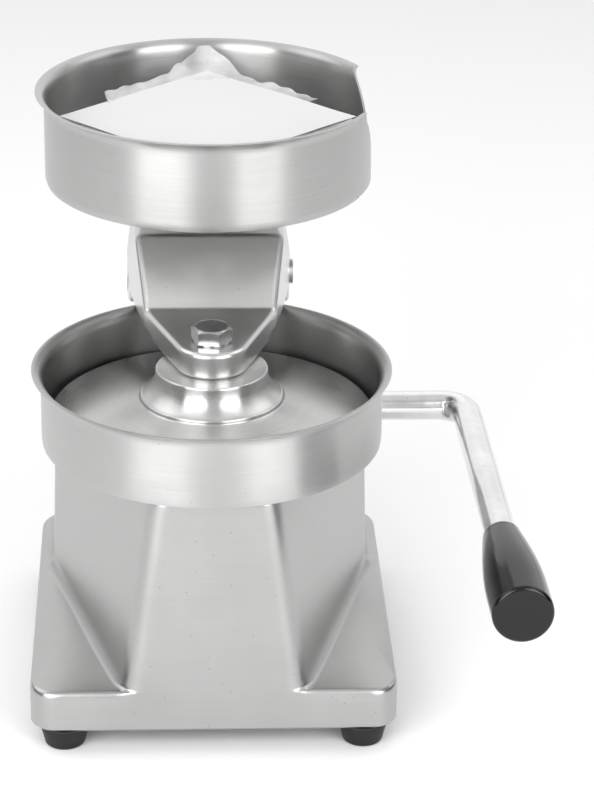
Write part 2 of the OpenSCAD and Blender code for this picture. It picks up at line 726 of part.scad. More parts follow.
// A link pin with riveted heads, centred at height z
module link_pin(z) {
  head_x = lug_t / 2 + slip + link_t;
  bar_x(-head_x - 1.5, head_x + 1.5, link_pin_d, tail_y, z);
  for (s = [-1, 1])
    bar_x(s > 0 ? head_x : -head_x - 1.5, s > 0 ? head_x + 1.5 : -head_x, link_pin_d + 3, tail_y, z);
}
module link_pin_top() color("gainsboro") placed() union() link_pin(tail_z);
module link_pin_foot() color("gainsboro") placed() union() link_pin(shaft_z + link_rise);

// Ejector
stem_thread_d = 10;
stem_thread_l = bracket_t + 14;
plate_screw_d = 6;
plate_screw_l = eject_t + 12;
stem_bottom = bracket_low + bracket_t;
module ejector_plate() color("gainsboro") placed()
  translate([0, 0, eject_z]) difference() {
    cylinder(h = eject_t, r = mould_r - eject_gap, $fn = 128);
    translate([0, 0, -1]) cylinder(h = eject_t + 2, d = plate_screw_d);
    translate([0, 0, eject_t - 2]) cylinder(h = 2.01, d1 = plate_screw_d, d2 = plate_screw_d + 4.02);
  }

module plate_screw() color("lightgray") placed()
  translate([0, 0, eject_z + eject_t]) difference() {
    union() {
      translate([0, 0, -2]) cylinder(h = 2, d1 = plate_screw_d, d2 = plate_screw_d + 4);
      translate([0, 0, -plate_screw_l]) cylinder(h = plate_screw_l - 1, d = plate_screw_d);
    }
    translate([0, 0, -1.5]) hex(4, 2);
  }

module ejector_stem() color("lightgray") placed()
  difference() {
    union() {
      translate([0, 0, stem_bottom]) cylinder(h = eject_z - stem_bottom, d = stem_d);
      translate([0, 0, stem_bottom - stem_thread_l]) cylinder(h = stem_thread_l + 1, d = stem_thread_d);
    }
    translate([0, 0, eject_z + eject_t - plate_screw_l - 2])
      cylinder(h = plate_screw_l, d = plate_screw_d);
  }

bracket_back = lift_y - nose_tip_r + 0.8;
module lift_bracket() color("gray") placed()
  difference() {
    plate_x(-bracket_w / 2, bracket_w / 2, rounded([
      [[-stem_d, bracket_low], 0],
      [[riser_y + bracket_t, bracket_low], bracket_t + 2],
      [[riser_y + bracket_t, bracket_z], 2],
      [[bracket_back, bracket_z], 0],
      [[bracket_back, bracket_z + bracket_t], 0],
      [[riser_y, bracket_z + bracket_t], bracket_t + 2],
      [[riser_y, bracket_low + bracket_t], 2],
      [[-stem_d, bracket_low + bracket_t], 0]
    ]));
    translate([0, 0, bracket_low - 1]) cylinder(h = bracket_t + 2, d = stem_thread_d);
  }

module stem_washer() color("lightgray") placed()
  translate([0, 0, bracket_low - washer_t]) difference() {
    cylinder(h = washer_t, d = 2 * stem_thread_d);
    translate([0, 0, -1]) cylinder(h = washer_t + 2, d = stem_thread_d);
  }

module stem_nut() color("lightgray") placed()
  translate([0, 0, bracket_low - washer_t - 8]) difference() {
    hex(1.6 * stem_thread_d, 8);
    translate([0, 0, -1]) cylinder(h = 10, d = stem_thread_d);
  }

base_casting();
mould_bowl();
bowl_screws();
guide_bush();
shaft_bushes();
hinge_post();
post_screws();
hinge_pin();
hinge_ring();
feet();
feet_screws();
crank_bar();
crank_grip();
rocker();
rocker_screw();
shaft_collar();
collar_screw();
press_arm();
press_disc();
press_washer();
press_bolt();
dish_spacer();
paper_dish();
dish_screw();
paper_stack();
link_plates();
link_pin_top();
link_pin_foot();
ejector_plate();
plate_screw();
ejector_stem();
lift_bracket();
stem_washer();
stem_nut();
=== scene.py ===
"""Looks of a bench patty press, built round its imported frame.

Castings, pans, papers and turned parts are numpy surfaces in the frame's own coordinates,
in metres. Every piece rides on a body of the frame, so it follows the joints.
"""

import json
import math

import bmesh
import bpy
import numpy as np
from mathutils import Matrix, Vector

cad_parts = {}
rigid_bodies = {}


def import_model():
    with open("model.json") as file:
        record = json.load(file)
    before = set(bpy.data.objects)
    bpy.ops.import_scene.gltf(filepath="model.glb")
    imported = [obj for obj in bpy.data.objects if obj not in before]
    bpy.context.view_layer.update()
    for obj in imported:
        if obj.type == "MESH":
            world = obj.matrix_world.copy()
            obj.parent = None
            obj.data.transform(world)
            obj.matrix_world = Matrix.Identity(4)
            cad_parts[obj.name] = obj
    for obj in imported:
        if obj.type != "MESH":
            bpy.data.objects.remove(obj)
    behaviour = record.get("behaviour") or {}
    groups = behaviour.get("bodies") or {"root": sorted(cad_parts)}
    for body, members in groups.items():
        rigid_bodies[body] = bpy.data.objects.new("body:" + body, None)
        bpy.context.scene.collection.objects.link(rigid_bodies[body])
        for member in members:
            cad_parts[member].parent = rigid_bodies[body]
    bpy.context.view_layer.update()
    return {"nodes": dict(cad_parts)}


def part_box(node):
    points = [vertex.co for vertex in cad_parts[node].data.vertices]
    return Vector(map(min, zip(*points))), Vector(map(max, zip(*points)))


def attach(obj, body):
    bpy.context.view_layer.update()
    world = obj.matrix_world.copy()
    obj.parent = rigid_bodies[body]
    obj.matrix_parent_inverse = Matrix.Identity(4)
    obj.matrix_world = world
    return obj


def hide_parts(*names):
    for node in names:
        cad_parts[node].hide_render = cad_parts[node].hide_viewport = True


bl_info = {
    "name": "Patty press looks",
    "version": (1, 0, 0),
    "blender": (4, 5, 0),
    "location": "View3D > Sidebar > Press",
    "description": "Builds the surfaces, materials and stage of a bench patty press",
    "category": "Object",
}

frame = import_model()
MM = 0.001


def middle(node):
    """Centre of a CAD node's box."""
    low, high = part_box(node)
    return np.array([(a + b) / 2 for a, b in zip(low, high)])


BOWL_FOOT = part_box("mould_bowl")[0][2]
DISH_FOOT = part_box("paper_dish")[0][2]
AXIS = np.array([*middle("mould_bowl")[:2], 0.0])
DISH_AXIS = np.array([AXIS[0], middle("dish_spacer")[1], 0.0])

# Sizes in millimetres that several pieces share, measured from the mould's axis and the floor
PAN_R, PAN_WALL, PAN_RIM, PAN_CORNER = 75, 1, 4, 1.4
BOWL_H, DISH_H = 34.5, 43
SHAFT = (96, 89.8)
HINGE = (96, 159.7)
DECK, PLATE_LOW, PLATE_TOP = 118.5, 10.5, 30.0
HUB_TOP, NOSE_TOP, BOLT_SEAT = 152.2, 164.6, 165.4
PILE_H = 27.3
SPLAY = math.radians(1.2)

# The camera's place in the same millimetres, its turns in degrees, its focal length in picture heights
CAMERA_PLACE = (-19.86, -1206.67, 673.7)
CAMERA_YAW, CAMERA_PITCH, CAMERA_ROLL = 2.747, 24.006, 0.749
CAMERA_FOCAL, SENSOR = 2960.9 / 800, 36.0


def spot(x, y, z):
    """A place given in millimetres from the mould's axis and the floor, in metres."""
    return AXIS + np.array([x, y, z]) * MM


# Mesh helpers


def grid_faces(nu, nv, close_u=False, close_v=False):
    """Quads of a grid whose point (i, j) has index i * nv + j, closed on request."""
    i = np.arange(nu if close_u else nu - 1)[:, None]
    j = np.arange(nv if close_v else nv - 1)[None, :]
    i2, j2 = (i + 1) % nu, (j + 1) % nv
    quads = [i * nv + j, i2 * nv + j, i2 * nv + j2, i * nv + j2]
    return np.stack([np.broadcast_to(q, (i.size, j.size)) for q in quads], -1).reshape(-1, 4)


def surface(points, close_u=False, close_v=False):
    """A grid of points (nu, nv, 3) as vertices and quads."""
    nu, nv = points.shape[:2]
    return points.reshape(-1, 3), grid_faces(nu, nv, close_u, close_v)


def joined(surfaces):
    """Several surfaces as one list of vertices and quads."""
    counts = np.cumsum([0] + [len(v) for v, _ in surfaces])
    return (
        np.concatenate([v for v, _ in surfaces]),
        np.concatenate([f + n for (_, f), n in zip(surfaces, counts)]),
    )


def lathe(profile, count=128, closed=True):
    """A profile of (radius, height) turned round Z: (r cos a, r sin a, z) for a in a full turn."""
    r, z = np.asarray(profile, float).T
    a = np.linspace(0, 2 * np.pi, count, endpoint=False)[:, None]
    return surface(np.stack([r * np.cos(a), r * np.sin(a), z + 0 * a], -1), True, closed)


def turned_to(part, direction):
    """A part made along Z, with Z laid along X ("x"), or along -Y ("y")."""
    points, faces = part
    x, y, z = points.T
    laid = (z, x, y) if direction == "x" else (x, -z, y)
    return np.stack(laid, -1), faces


def moved(part, offset, scale=1.0):
    """A part scaled, then shifted by an offset."""
    return part[0] * scale + np.asarray(offset, float), part[1]


def turn_about_z(angle):
    """The matrix that turns points round Z by an angle."""
    c, s = math.cos(angle), math.sin(angle)
    return np.array([[c, -s, 0], [s, c, 0], [0, 0, 1]])


def arc(centre, radius, start, end, count=9):
    """Points on an arc, angles in degrees."""
    a = np.radians(np.linspace(start, end, count))
    return np.stack([centre[0] + radius * np.cos(a), centre[1] + radius * np.sin(a)], -1)


def along(points, counts):
    """A polyline through points, with counts[i] steps on leg i, without each leg's last point."""
    legs = [
        np.linspace(a, b, n, endpoint=False)
        for a, b, n in zip(points[:-1], points[1:], counts)
    ]
    return np.concatenate(legs)


def rounded(points, radii, counts, arc_count):
    """An open path through points, its inner corners rounded by radii.

    Each corner becomes an arc of arc_count steps between its two tangent points, and leg i
    between the arcs has counts[i] steps, so two paths with the same counts match point by point.
    """
    points = np.asarray(points, float)
    before = points[1:-1] - points[:-2]
    after = points[2:] - points[1:-1]
    before /= np.linalg.norm(before, axis=1, keepdims=True)
    after /= np.linalg.norm(after, axis=1, keepdims=True)
    half = np.arccos(np.clip(-(before * after).sum(1), -1, 1)) / 2
    reach = (np.asarray(radii) / np.tan(half))[:, None]
    start, end = points[1:-1] - before * reach, points[1:-1] + after * reach
    t = np.linspace(0, 1, arc_count, endpoint=False)[None, :, None]
    spread = np.pi / 2 - half[:, None, None]
    inward = (after - before) / np.linalg.norm(after - before, axis=1, keepdims=True)
    centre = points[1:-1] + inward * (np.asarray(radii) / np.sin(half))[:, None]
    tangent = (before + after) / np.linalg.norm(before + after, axis=1, keepdims=True)
    turn = (2 * t - 1) * spread
    r = np.asarray(radii)[:, None, None]
    arcs = centre[:, None] - inward[:, None] * r * np.cos(turn) + tangent[:, None] * r * np.sin(turn)
    ends = np.concatenate([end, points[-1:]])
    starts = np.concatenate([start, points[-1:]])
    legs = [np.linspace(points[0], start[0], counts[0], endpoint=False)]
    for i in range(len(arcs)):
        legs += [arcs[i], np.linspace(ends[i], starts[i + 1], counts[i + 1], endpoint=False)]
    return np.concatenate(legs + [points[-1:]])


def welded(name, parts):
    """A mesh of the parts, with its seams joined and its normals outwards."""
    points, faces = joined(parts)
    mesh = bpy.data.meshes.new(name)
    mesh.from_pydata(points.tolist(), [], faces.tolist())
    bm = bmesh.new()
    bm.from_mesh(mesh)
    bmesh.ops.remove_doubles(bm, verts=bm.verts, dist=2e-6)
    bmesh.ops.dissolve_degenerate(bm, edges=bm.edges, dist=1e-6)
    bmesh.ops.recalc_face_normals(bm, faces=bm.faces)
    bm.to_mesh(mesh)
    bm.free()
    return mesh


def carved(mesh, cutters):
    """The mesh without the bores that closed cutters take out of it."""
    scene = bpy.context.scene.collection.objects
    block = bpy.data.objects.new("block", mesh)
    tool = bpy.data.objects.new("tool", welded("tool", cutters))
    scene.link(block)
    scene.link(tool)
    cut = block.modifiers.new("cut", "BOOLEAN")
    cut.operation, cut.solver, cut.object, cut.use_self = "DIFFERENCE", "EXACT", tool, True
    result = bpy.data.meshes.new_from_object(block.evaluated_get(bpy.context.evaluated_depsgraph_get()))
    for made in (block, tool):
        data = made.data
        bpy.data.objects.remove(made)
        bpy.data.meshes.remove(data)
    return result


def bore(radius, start, end, place, count=64):
    """A closed cylinder along X from start to end, through (y, z)."""
    rod = lathe(np.array([(0, start), (radius, start), (radius, end), (0, end)]) * MM, count, closed=False)
    return moved(turned_to(rod, "x"), spot(0, *place))


def put(name, parts, finish, body, stands_for=(), sharp=38, cutters=()):
    """Makes an object of the parts in a finish, with its place in its mesh, and lets it ride on a body."""
    mesh = welded(name, parts)
    if cutters:
        mesh = carved(mesh, cutters)
        mesh.name = name
    mesh.polygons.foreach_set("use_smooth", np.ones(len(mesh.polygons), bool))
    mesh.set_sharp_from_angle(angle=math.radians(sharp))
    mesh.materials.clear()
    mesh.materials.append(MATERIALS[finish])
    piece = bpy.data.objects.new(name, mesh)
    bpy.context.scene.collection.objects.link(piece)
    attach(piece, body)
    if stands_for:
        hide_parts(*stands_for)
    return piece


# Materials


def add(tree, kind, inputs=None, **settings):
    """A node with its settings, and inputs given as values or as sockets to link from."""
    made = tree.nodes.new(kind)
    for key, value in settings.items():
        setattr(made, key, value)
    for key, value in (inputs or {}).items():
        if isinstance(value, bpy.types.NodeSocket):
            tree.links.new(value, made.inputs[key])
        else:
            made.inputs[key].default_value = value
    return made


def group(name, sockets):
    """A shader node group with the given sockets, and its input and output nodes."""
    tree = bpy.data.node_groups.new(name, "ShaderNodeTree")
    for label, way, kind, default in sockets:
        socket = tree.interface.new_socket(name=label, in_out=way, socket_type=kind)
        if default is not None:
            socket.default_value = default
    return tree, tree.nodes.new("NodeGroupInput"), tree.nodes.new("NodeGroupOutput")


def grain_group():
    """Brush lines: noise on coordinates that are stretched by Scale, from 0 to 1."""
    tree, source, sink = group("brush grain", [
        ("Vector", "INPUT", "NodeSocketVector", None),
        ("Scale", "INPUT", "NodeSocketVector", (1, 1, 1)),
        ("Fac", "OUTPUT", "NodeSocketFloat", None),
    ])
    inputs = {0: source.outputs[0], 1: source.outputs[1]}
    scaled = add(tree, "ShaderNodeVectorMath", inputs, operation="MULTIPLY")
    noise = add(tree, "ShaderNodeTexNoise", {
        "Vector": scaled.outputs[0], "Scale": 1.0, "Detail": 4.0, "Roughness": 0.6,
    })
    tree.links.new(noise.outputs["Fac"], sink.inputs[0])
    return tree


def ring_group():
    """Round coordinates without a seam: the unit vector away from Z, and radius plus height."""
    tree, source, sink = group("round coordinates", [
        ("Vector", "INPUT", "NodeSocketVector", None),
        ("Vector", "OUTPUT", "NodeSocketVector", None),
    ])
    split = add(tree, "ShaderNodeSeparateXYZ", {0: source.outputs[0]})
    flat = add(tree, "ShaderNodeCombineXYZ", {0: split.outputs[0], 1: split.outputs[1]})
    away = add(tree, "ShaderNodeVectorMath", {0: flat.outputs[0]}, operation="NORMALIZE")
    radius = add(tree, "ShaderNodeVectorMath", {0: flat.outputs[0]}, operation="LENGTH")
    run = add(tree, "ShaderNodeMath", {0: radius.outputs["Value"], 1: split.outputs[2]}, operation="ADD")
    unit = add(tree, "ShaderNodeSeparateXYZ", {0: away.outputs[0]})
    made = add(tree, "ShaderNodeCombineXYZ", {0: unit.outputs[0], 1: unit.outputs[1], 2: run.outputs[0]})
    tree.links.new(made.outputs[0], sink.inputs[0])
    return tree


def specks_group():
    """Small pits: 1 within a cell's pit radius, in the share of cells that Share lets through."""
    tree, source, sink = group("pits", [
        ("Vector", "INPUT", "NodeSocketVector", None),
        ("Scale", "INPUT", "NodeSocketFloat", 400.0),
        ("Share", "INPUT", "NodeSocketFloat", 0.1),
        ("Fac", "OUTPUT", "NodeSocketFloat", None),
    ])
    cells = add(tree, "ShaderNodeTexVoronoi", {"Vector": source.outputs[0], "Scale": source.outputs[1]})
    near = add(tree, "ShaderNodeMapRange", {0: cells.outputs["Distance"], 1: 0.05, 2: 0.22, 3: 1.0, 4: 0.0})
    tone = add(tree, "ShaderNodeSeparateColor", {0: cells.outputs["Color"]})
    few = add(tree, "ShaderNodeMath", {0: tone.outputs[0], 1: source.outputs[2]}, operation="LESS_THAN")
    both = add(tree, "ShaderNodeMath", {0: near.outputs[0], 1: few.outputs[0]}, operation="MULTIPLY")
    tree.links.new(both.outputs[0], sink.inputs[0])
    return tree


GROUPS = {"grain": grain_group(), "ring": ring_group(), "specks": specks_group()}


def use(tree, name, inputs):
    """The first output of a node that holds one of the shared groups."""
    return add(tree, "ShaderNodeGroup", inputs, node_tree=GROUPS[name]).outputs[0]


def shader(name):
    """A new material's tree, its Principled shader and its object coordinates."""
    material = bpy.data.materials.new(name)
    material.use_nodes = True
    tree = material.node_tree
    return material, tree, tree.nodes["Principled BSDF"], add(tree, "ShaderNodeTexCoord").outputs["Object"]


def mixed(tree, fac, low, high):
    """A colour between low and high."""
    return add(tree, "ShaderNodeMix", {0: fac, 6: (*low, 1), 7: (*high, 1)}, data_type="RGBA").outputs[2]


def ranged(tree, value, low, high, start=0.25, end=0.75):
    """A value carried from the range start to end onto low to high."""
    return add(tree, "ShaderNodeMapRange", {0: value, 1: start, 2: end, 3: low, 4: high}).outputs[0]


def bumped(tree, bsdf, height, strength, distance):
    """Bends a shader's normals by a height."""
    bump = add(tree, "ShaderNodeBump", {"Height": height, "Strength": strength, "Distance": distance})
    tree.links.new(bump.outputs[0], bsdf.inputs["Normal"])


def brushed_metal(
    name, color, rough, scale, spread=0.1, tint=0.1, bump=0.12, ring=None, pits=0.0, anisotropic=0.0
):
    """Metal with brush lines along the axis of the smallest scale, cloudy tone and a few pits.

    Tone and roughness follow stretched noise, and pits are darker and sunk. With ring, the
    lines run round the upright axis through that point.
    """
    material, tree, bsdf, place = shader(name)
    bsdf.inputs["Metallic"].default_value = 1.0
    where = place
    if ring is not None:
        centred = add(tree, "ShaderNodeMapping", {"Vector": place, "Location": [-float(c) for c in ring]})
        where = use(tree, "ring", {0: centred.outputs[0]})
    lines = use(tree, "grain", {0: where, 1: scale})
    cloud = add(tree, "ShaderNodeTexNoise", {"Vector": place, "Scale": 26.0, "Detail": 4.0}).outputs["Fac"]
    fine = add(tree, "ShaderNodeMath", {0: lines, 1: cloud}, operation="ADD").outputs[0]
    dark = [c * (1 - tint) for c in color]
    tone = mixed(tree, ranged(tree, fine, 0, 1, 0.75, 1.25), dark, color)
    level = ranged(tree, fine, rough - spread, rough + spread, 0.75, 1.25)
    height = lines
    if pits:
        spots = use(tree, "specks", {0: place, 1: 520.0, 2: pits})
        pit = (*[c * 0.5 for c in color], 1)
        tone = add(tree, "ShaderNodeMix", {0: spots, 6: tone, 7: pit}, data_type="RGBA").outputs[2]
        height = add(tree, "ShaderNodeMath", {0: lines, 1: spots}, operation="SUBTRACT").outputs[0]
    tree.links.new(tone, bsdf.inputs["Base Color"])
    tree.links.new(level, bsdf.inputs["Roughness"])
    if anisotropic:
        bsdf.inputs["Anisotropic"].default_value = anisotropic
        bsdf.inputs["Anisotropic Rotation"].default_value = 0.25
        tangent = add(tree, "ShaderNodeTangent", direction_type="RADIAL", axis="Z")
        tree.links.new(tangent.outputs[0], bsdf.inputs["Tangent"])
    bumped(tree, bsdf, height, bump, 0.0002)
    return material


def plastic(name, color, rough):
    """Moulded plastic or rubber: small clouds of tone and roughness and a fine grain."""
    material, tree, bsdf, place = shader(name)
    cloud = add(tree, "ShaderNodeTexNoise", {"Vector": place, "Scale": 120.0, "Detail": 6.0}).outputs["Fac"]
    low, high = [c * 0.8 for c in color], [c * 1.25 for c in color]
    tree.links.new(mixed(tree, cloud, low, high), bsdf.inputs["Base Color"])
    tree.links.new(ranged(tree, cloud, rough * 0.85, rough * 1.2), bsdf.inputs["Roughness"])
    fine = add(tree, "ShaderNodeTexNoise", {"Vector": place, "Scale": 1800.0, "Detail": 2.0}).outputs["Fac"]
    bsdf.inputs["Specular IOR Level"].default_value = 0.42
    bumped(tree, bsdf, fine, 0.03, 0.0001)
    return material


def paper(name, color, edges=False):
    """Paper: faint fibres and a soft glow of light through it; a pile's edges get a line per sheet."""
    material, tree, bsdf, place = shader(name)
    fibre = use(tree, "grain", {0: place, 1: (500.0, 500.0, 500.0)})
    tree.links.new(mixed(tree, fibre, [c * 0.96 for c in color], color), bsdf.inputs["Base Color"])
    bsdf.inputs["Roughness"].default_value = 0.75
    bsdf.inputs["Subsurface Weight"].default_value = 0.15
    bsdf.inputs["Subsurface Radius"].default_value = (0.002, 0.002, 0.002)
    height = use(tree, "grain", {0: place, 1: (8.0, 8.0, 9000.0)}) if edges else fibre
    bumped(tree, bsdf, height, 0.15, 0.0003)
    return material


def film(name, color):
    """Clear film: see-through, milky and glossy, with clouds where it is creased."""
    material, tree, bsdf, place = shader(name)
    cloud = add(tree, "ShaderNodeTexNoise", {"Vector": place, "Scale": 70.0, "Detail": 3.0}).outputs["Fac"]
    tree.links.new(mixed(tree, cloud, [c * 0.9 for c in color], color), bsdf.inputs["Base Color"])
    bsdf.inputs["Roughness"].default_value = 0.3
    tree.links.new(ranged(tree, cloud, 0.35, 0.75), bsdf.inputs["Alpha"])
    bumped(tree, bsdf, cloud, 0.3, 0.001)
    return material


MATERIALS = {}


def make_materials(finish):
    """Every finish of the press, from the colours in the panel."""
    cast, steel = list(finish.cast_color), list(finish.steel_color)
    arm = [min(1.0, 1.55 * c) for c in cast]
    plate, level, round_ = list(finish.plate_color), (18.0, 18.0, 3200.0), (2.0, 2.0, 3000.0)
    spots = (120.0, 120.0, 120.0)
    MATERIALS.update({
        "cast": brushed_metal("cast_aluminium", cast, 0.33, level, 0.05, 0.11, 0.05, None, 0.05, 0.4),
        "arm": brushed_metal("linished_casting", arm, 0.31, level, 0.03, 0.06, 0.012, None, 0.04, 0.4),
        "turned": brushed_metal("turned_aluminium", arm, 0.33, round_, 0.06, 0.16, 0.05, AXIS, 0.03, 0.92),
        "bowl": brushed_metal("bowl_stainless", steel, 0.34, round_, 0.06, 0.15, 0.04, AXIS, 0.02, 0.88),
        "dish": brushed_metal("dish_stainless", steel, 0.34, round_, 0.06, 0.15, 0.04, DISH_AXIS, 0.02, 0.88),
        "plate": brushed_metal("bright_plate", plate, 0.17, spots, 0.06, 0.12, 0.04, pits=0.04),
        "bolt": brushed_metal("bolt_plate", [0.5, 0.5, 0.5], 0.22, spots, 0.05, 0.25, 0.06, pits=0.05),
        "steel": brushed_metal("plain_steel", [0.42, 0.42, 0.42], 0.4, (60.0, 60.0, 600.0), 0.1, 0.2, 0.1),
        "dark": brushed_metal("blackened_steel", [0.05, 0.05, 0.055], 0.45, spots, 0.1, 0.3, 0.1),
        "bronze": brushed_metal("bush_bronze", [0.5, 0.34, 0.16], 0.35, (90.0, 90.0, 400.0), 0.1, 0.2, 0.1),
        "iron": brushed_metal("rocker_iron", [0.3, 0.3, 0.31], 0.5, (220.0,) * 3, 0.1, 0.25, 0.3, pits=0.1),
        "grip": plastic("grip_plastic", list(finish.grip_color), 0.14),
        "rubber": plastic("foot_rubber", list(finish.rubber_color), 0.5),
        "pile": paper("paper_pile", list(finish.paper_color), True),
        "sheet": paper("paper_sheet", list(finish.paper_color)),
        "film": film("clear_film", [0.8, 0.8, 0.8]),
    })


NODE_FINISH = {
    "steel": ["lift_bracket", "link_plates", "shaft_collar", "ejector_stem"],
    "dark": ["hinge_ring", "post_screws", "rocker_screw", "collar_screw"],
    "bronze": ["guide_bush", "shaft_bushes"],
    "iron": ["rocker"],
    "arm": ["dish_spacer", "hinge_post", "hinge_pin"],
    "bowl": ["ejector_plate"],
    "plate": [
        "bowl_screws", "feet_screws", "dish_screw", "link_pin_top",
        "link_pin_foot", "plate_screw", "stem_washer", "stem_nut",
    ],
}


# Shapes


def column_path(front, side, inset, counts, lean=0.0):
    """Right half of the column's outline, from its front middle to its back middle, in millimetres.

    A flat front, a rounded edge, a slanted wall, a wide round corner, a straight side, a back
    corner and a back wall that is divided at the edge of the casting's back opening. lean moves
    the front back.
    """
    back = 102 - inset
    r = max(7 - inset, 1.5)
    ahead = -76 + inset + lean
    points = [(0, ahead), (front - 0.9 * inset, ahead), (side - inset, 47), (side - inset, back), (0, back)]
    path = rounded(points, [r + 3, 20, r], [*counts[:3], 1], 8)
    return np.concatenate([path[:-2], along([path[-2], (50.5, back), (0, back)], [4, counts[3]]), [(0, back)]])


def plate_path(flush, inset, counts):
    """Right half of the base plate's outline, with as many points as the column's."""
    half, front, back = 81 - inset, -76 + inset, 104 - inset
    r = max(12 - inset, 1.5)
    n0, n1, n2, n3 = counts
    parts = [
        along([(0, front), (flush, front), (flush + 9, front)], [n0, 8]),
        along([(flush + 9, front), (half - r, front)], [n1 // 3]),
        arc((half - r, front + r), r, -90, 0, 9)[:-1],
        along([(half, front + r), (half, 30)], [n1 - n1 // 3 - 8]),
        along([(half, 30), (half, 58), (half, back - r)], [8, n2]),
        arc((half - r, back - r), r, 0, 90, 9)[:-1],
        along([(half - r, back), (50.5, back), (0, back)], [4, n3]),
        [(0, back)],
    ]
    return np.concatenate(parts)


def both_halves(half):
    """A right half outline and its mirror image as one closed outline."""
    return np.concatenate([half, (half * [-1, 1])[-2:0:-1]])


def ring_at(outline, radius):
    """The points of a circle round the mould's axis in the directions of an outline's points."""
    a = np.arctan2(outline[:, 1], outline[:, 0])
    return radius * np.stack([np.cos(a), np.sin(a)], -1)


def level(outline, z):
    """An outline's points at the height z."""
    return np.concatenate([outline, np.broadcast_to(np.asarray(z, float), (len(outline),))[:, None]], 1)


def base_shell(edge, fillet):
    """The casting: a closed skin round its outside and its hollow inside.

    Each row is an outline at a height. Row by row it runs up the plate's rim, over a rounded
    edge, across the plate's top, up a fillet into the tapered column, over the deck to the
    stem's hole, and back down inside. Where the panel is flush with the plate's front the edge
    and the fillet flatten to nothing. Faces at the back between the shaft's bosses are left out.
    """
    counts, thick, bevel = (10, 24, 8, 12), 5, 1.2
    at_foot, at_top, tilt, flush = (39, 74), (26.5, 71.5), 5.2, 32.0
    top, bottom, ledge = DECK, PLATE_LOW, PLATE_TOP
    foot, foot_in = (both_halves(column_path(*at_foot, inset, counts)) for inset in (0, thick))
    head, head_in = (both_halves(column_path(*at_top, inset, counts, tilt)) for inset in (0, thick))
    plate, lip, plate_in = (both_halves(plate_path(flush, inset, counts)) for inset in (0, bevel, thick))

    def wall(z, low, high):
        t = np.clip((z - ledge) / (top - ledge), 0, 1)
        return low + (high - low) * np.reshape(t, (-1, 1))

    step = plate - foot
    width = np.linalg.norm(step, axis=1)
    share = np.clip(width / (edge + fillet + 1), 0, 1)
    share = share * share * (3 - 2 * share)
    out = step / np.maximum(width, 1e-6)[:, None]
    rows = [level(plate_in, bottom), level(lip, bottom), level(plate, bottom + bevel)]
    rows += [level(plate, z) for z in (16, 22, ledge - edge)]
    for a in np.radians(np.linspace(15, 90, 6)):
        n = width - edge * share * (1 - np.cos(a))
        z = ledge - edge * (1 - np.sin(a)) - 0.5 * (1 - share) * np.sin(a)
        rows.append(level(foot + out * n[:, None], z))
    for a in np.radians(np.linspace(0, 90, 8)):
        n = fillet * share * (1 - np.sin(a))
        z = ledge + fillet * (1 - np.cos(a)) + 0.5 * (1 - share) * np.cos(a)
        rows.append(level(wall(z, foot, head) + out * n[:, None], z))
    heights = np.array([ledge + fillet + 2, 50, 63, 76, 89, 102, top - 6])
    first = len(rows)
    rows += [level(wall(z, foot, head), z) for z in heights]
    tangent = np.roll(head, -1, 0) - np.roll(head, 1, 0)
    inward = np.stack([-tangent[:, 1], tangent[:, 0]], -1) / np.linalg.norm(tangent, axis=1, keepdims=True)
    for a in np.radians(np.linspace(0, 90, 5)):
        rows.append(level(head + inward * (1 - np.cos(a)), top - 1 + np.sin(a)))
    rows += [level(ring_at(head, r), top) for r in (24, 11)]
    rows += [level(ring_at(head, r), top - 6) for r in (11, 24)]
    second = len(rows)
    rows += [level(wall(z, foot_in, head_in), z) for z in heights[::-1]]
    rows += [level(foot_in, 25), level(plate_in, 25), level(plate_in, 18)]
    points = np.stack(rows, 1)
    nu, nv = points.shape[:2]
    index = np.arange(nu * nv).reshape(nu, nv)
    quads = grid_faces(nu, nv, True, True).reshape(nu, nv, 4)
    behind = np.nonzero((np.abs(foot[:, 0]) < 50.6) & (foot[:, 1] > 100))[0]
    gone = np.zeros((nu, nv), bool)
    steps = len(heights) - 1
    gone[np.ix_(behind[:-1], np.r_[first:first + steps, second:second + steps])] = True
    a, b = behind[0], behind[-1]
    outer = np.concatenate([
        index[behind, first], index[b, first + 1:first + steps],
        index[behind, first + steps][::-1], index[a, first + 1:first + steps][::-1],
    ])
    inner = np.concatenate([
        index[behind, second + steps], index[b, second + 1:second + steps][::-1],
        index[behind, second][::-1], index[a, second + 1:second + steps],
    ])
    jamb = np.stack([outer, np.roll(outer, -1), np.roll(inner, -1), inner], -1)
    return points.reshape(-1, 3) * MM, np.concatenate([quads[~gone], jamb])


def tube_ring(r_in, r_out, start, end, bevel=0.8):
    """Section of a plain ring with bevelled edges, given in millimetres, as (radius, height) in metres."""
    return MM * np.array([
        (r_in, start), (r_out - bevel, start), (r_out, start + bevel), (r_out, end - bevel),
        (r_out - bevel, end), (r_in, end),
    ])


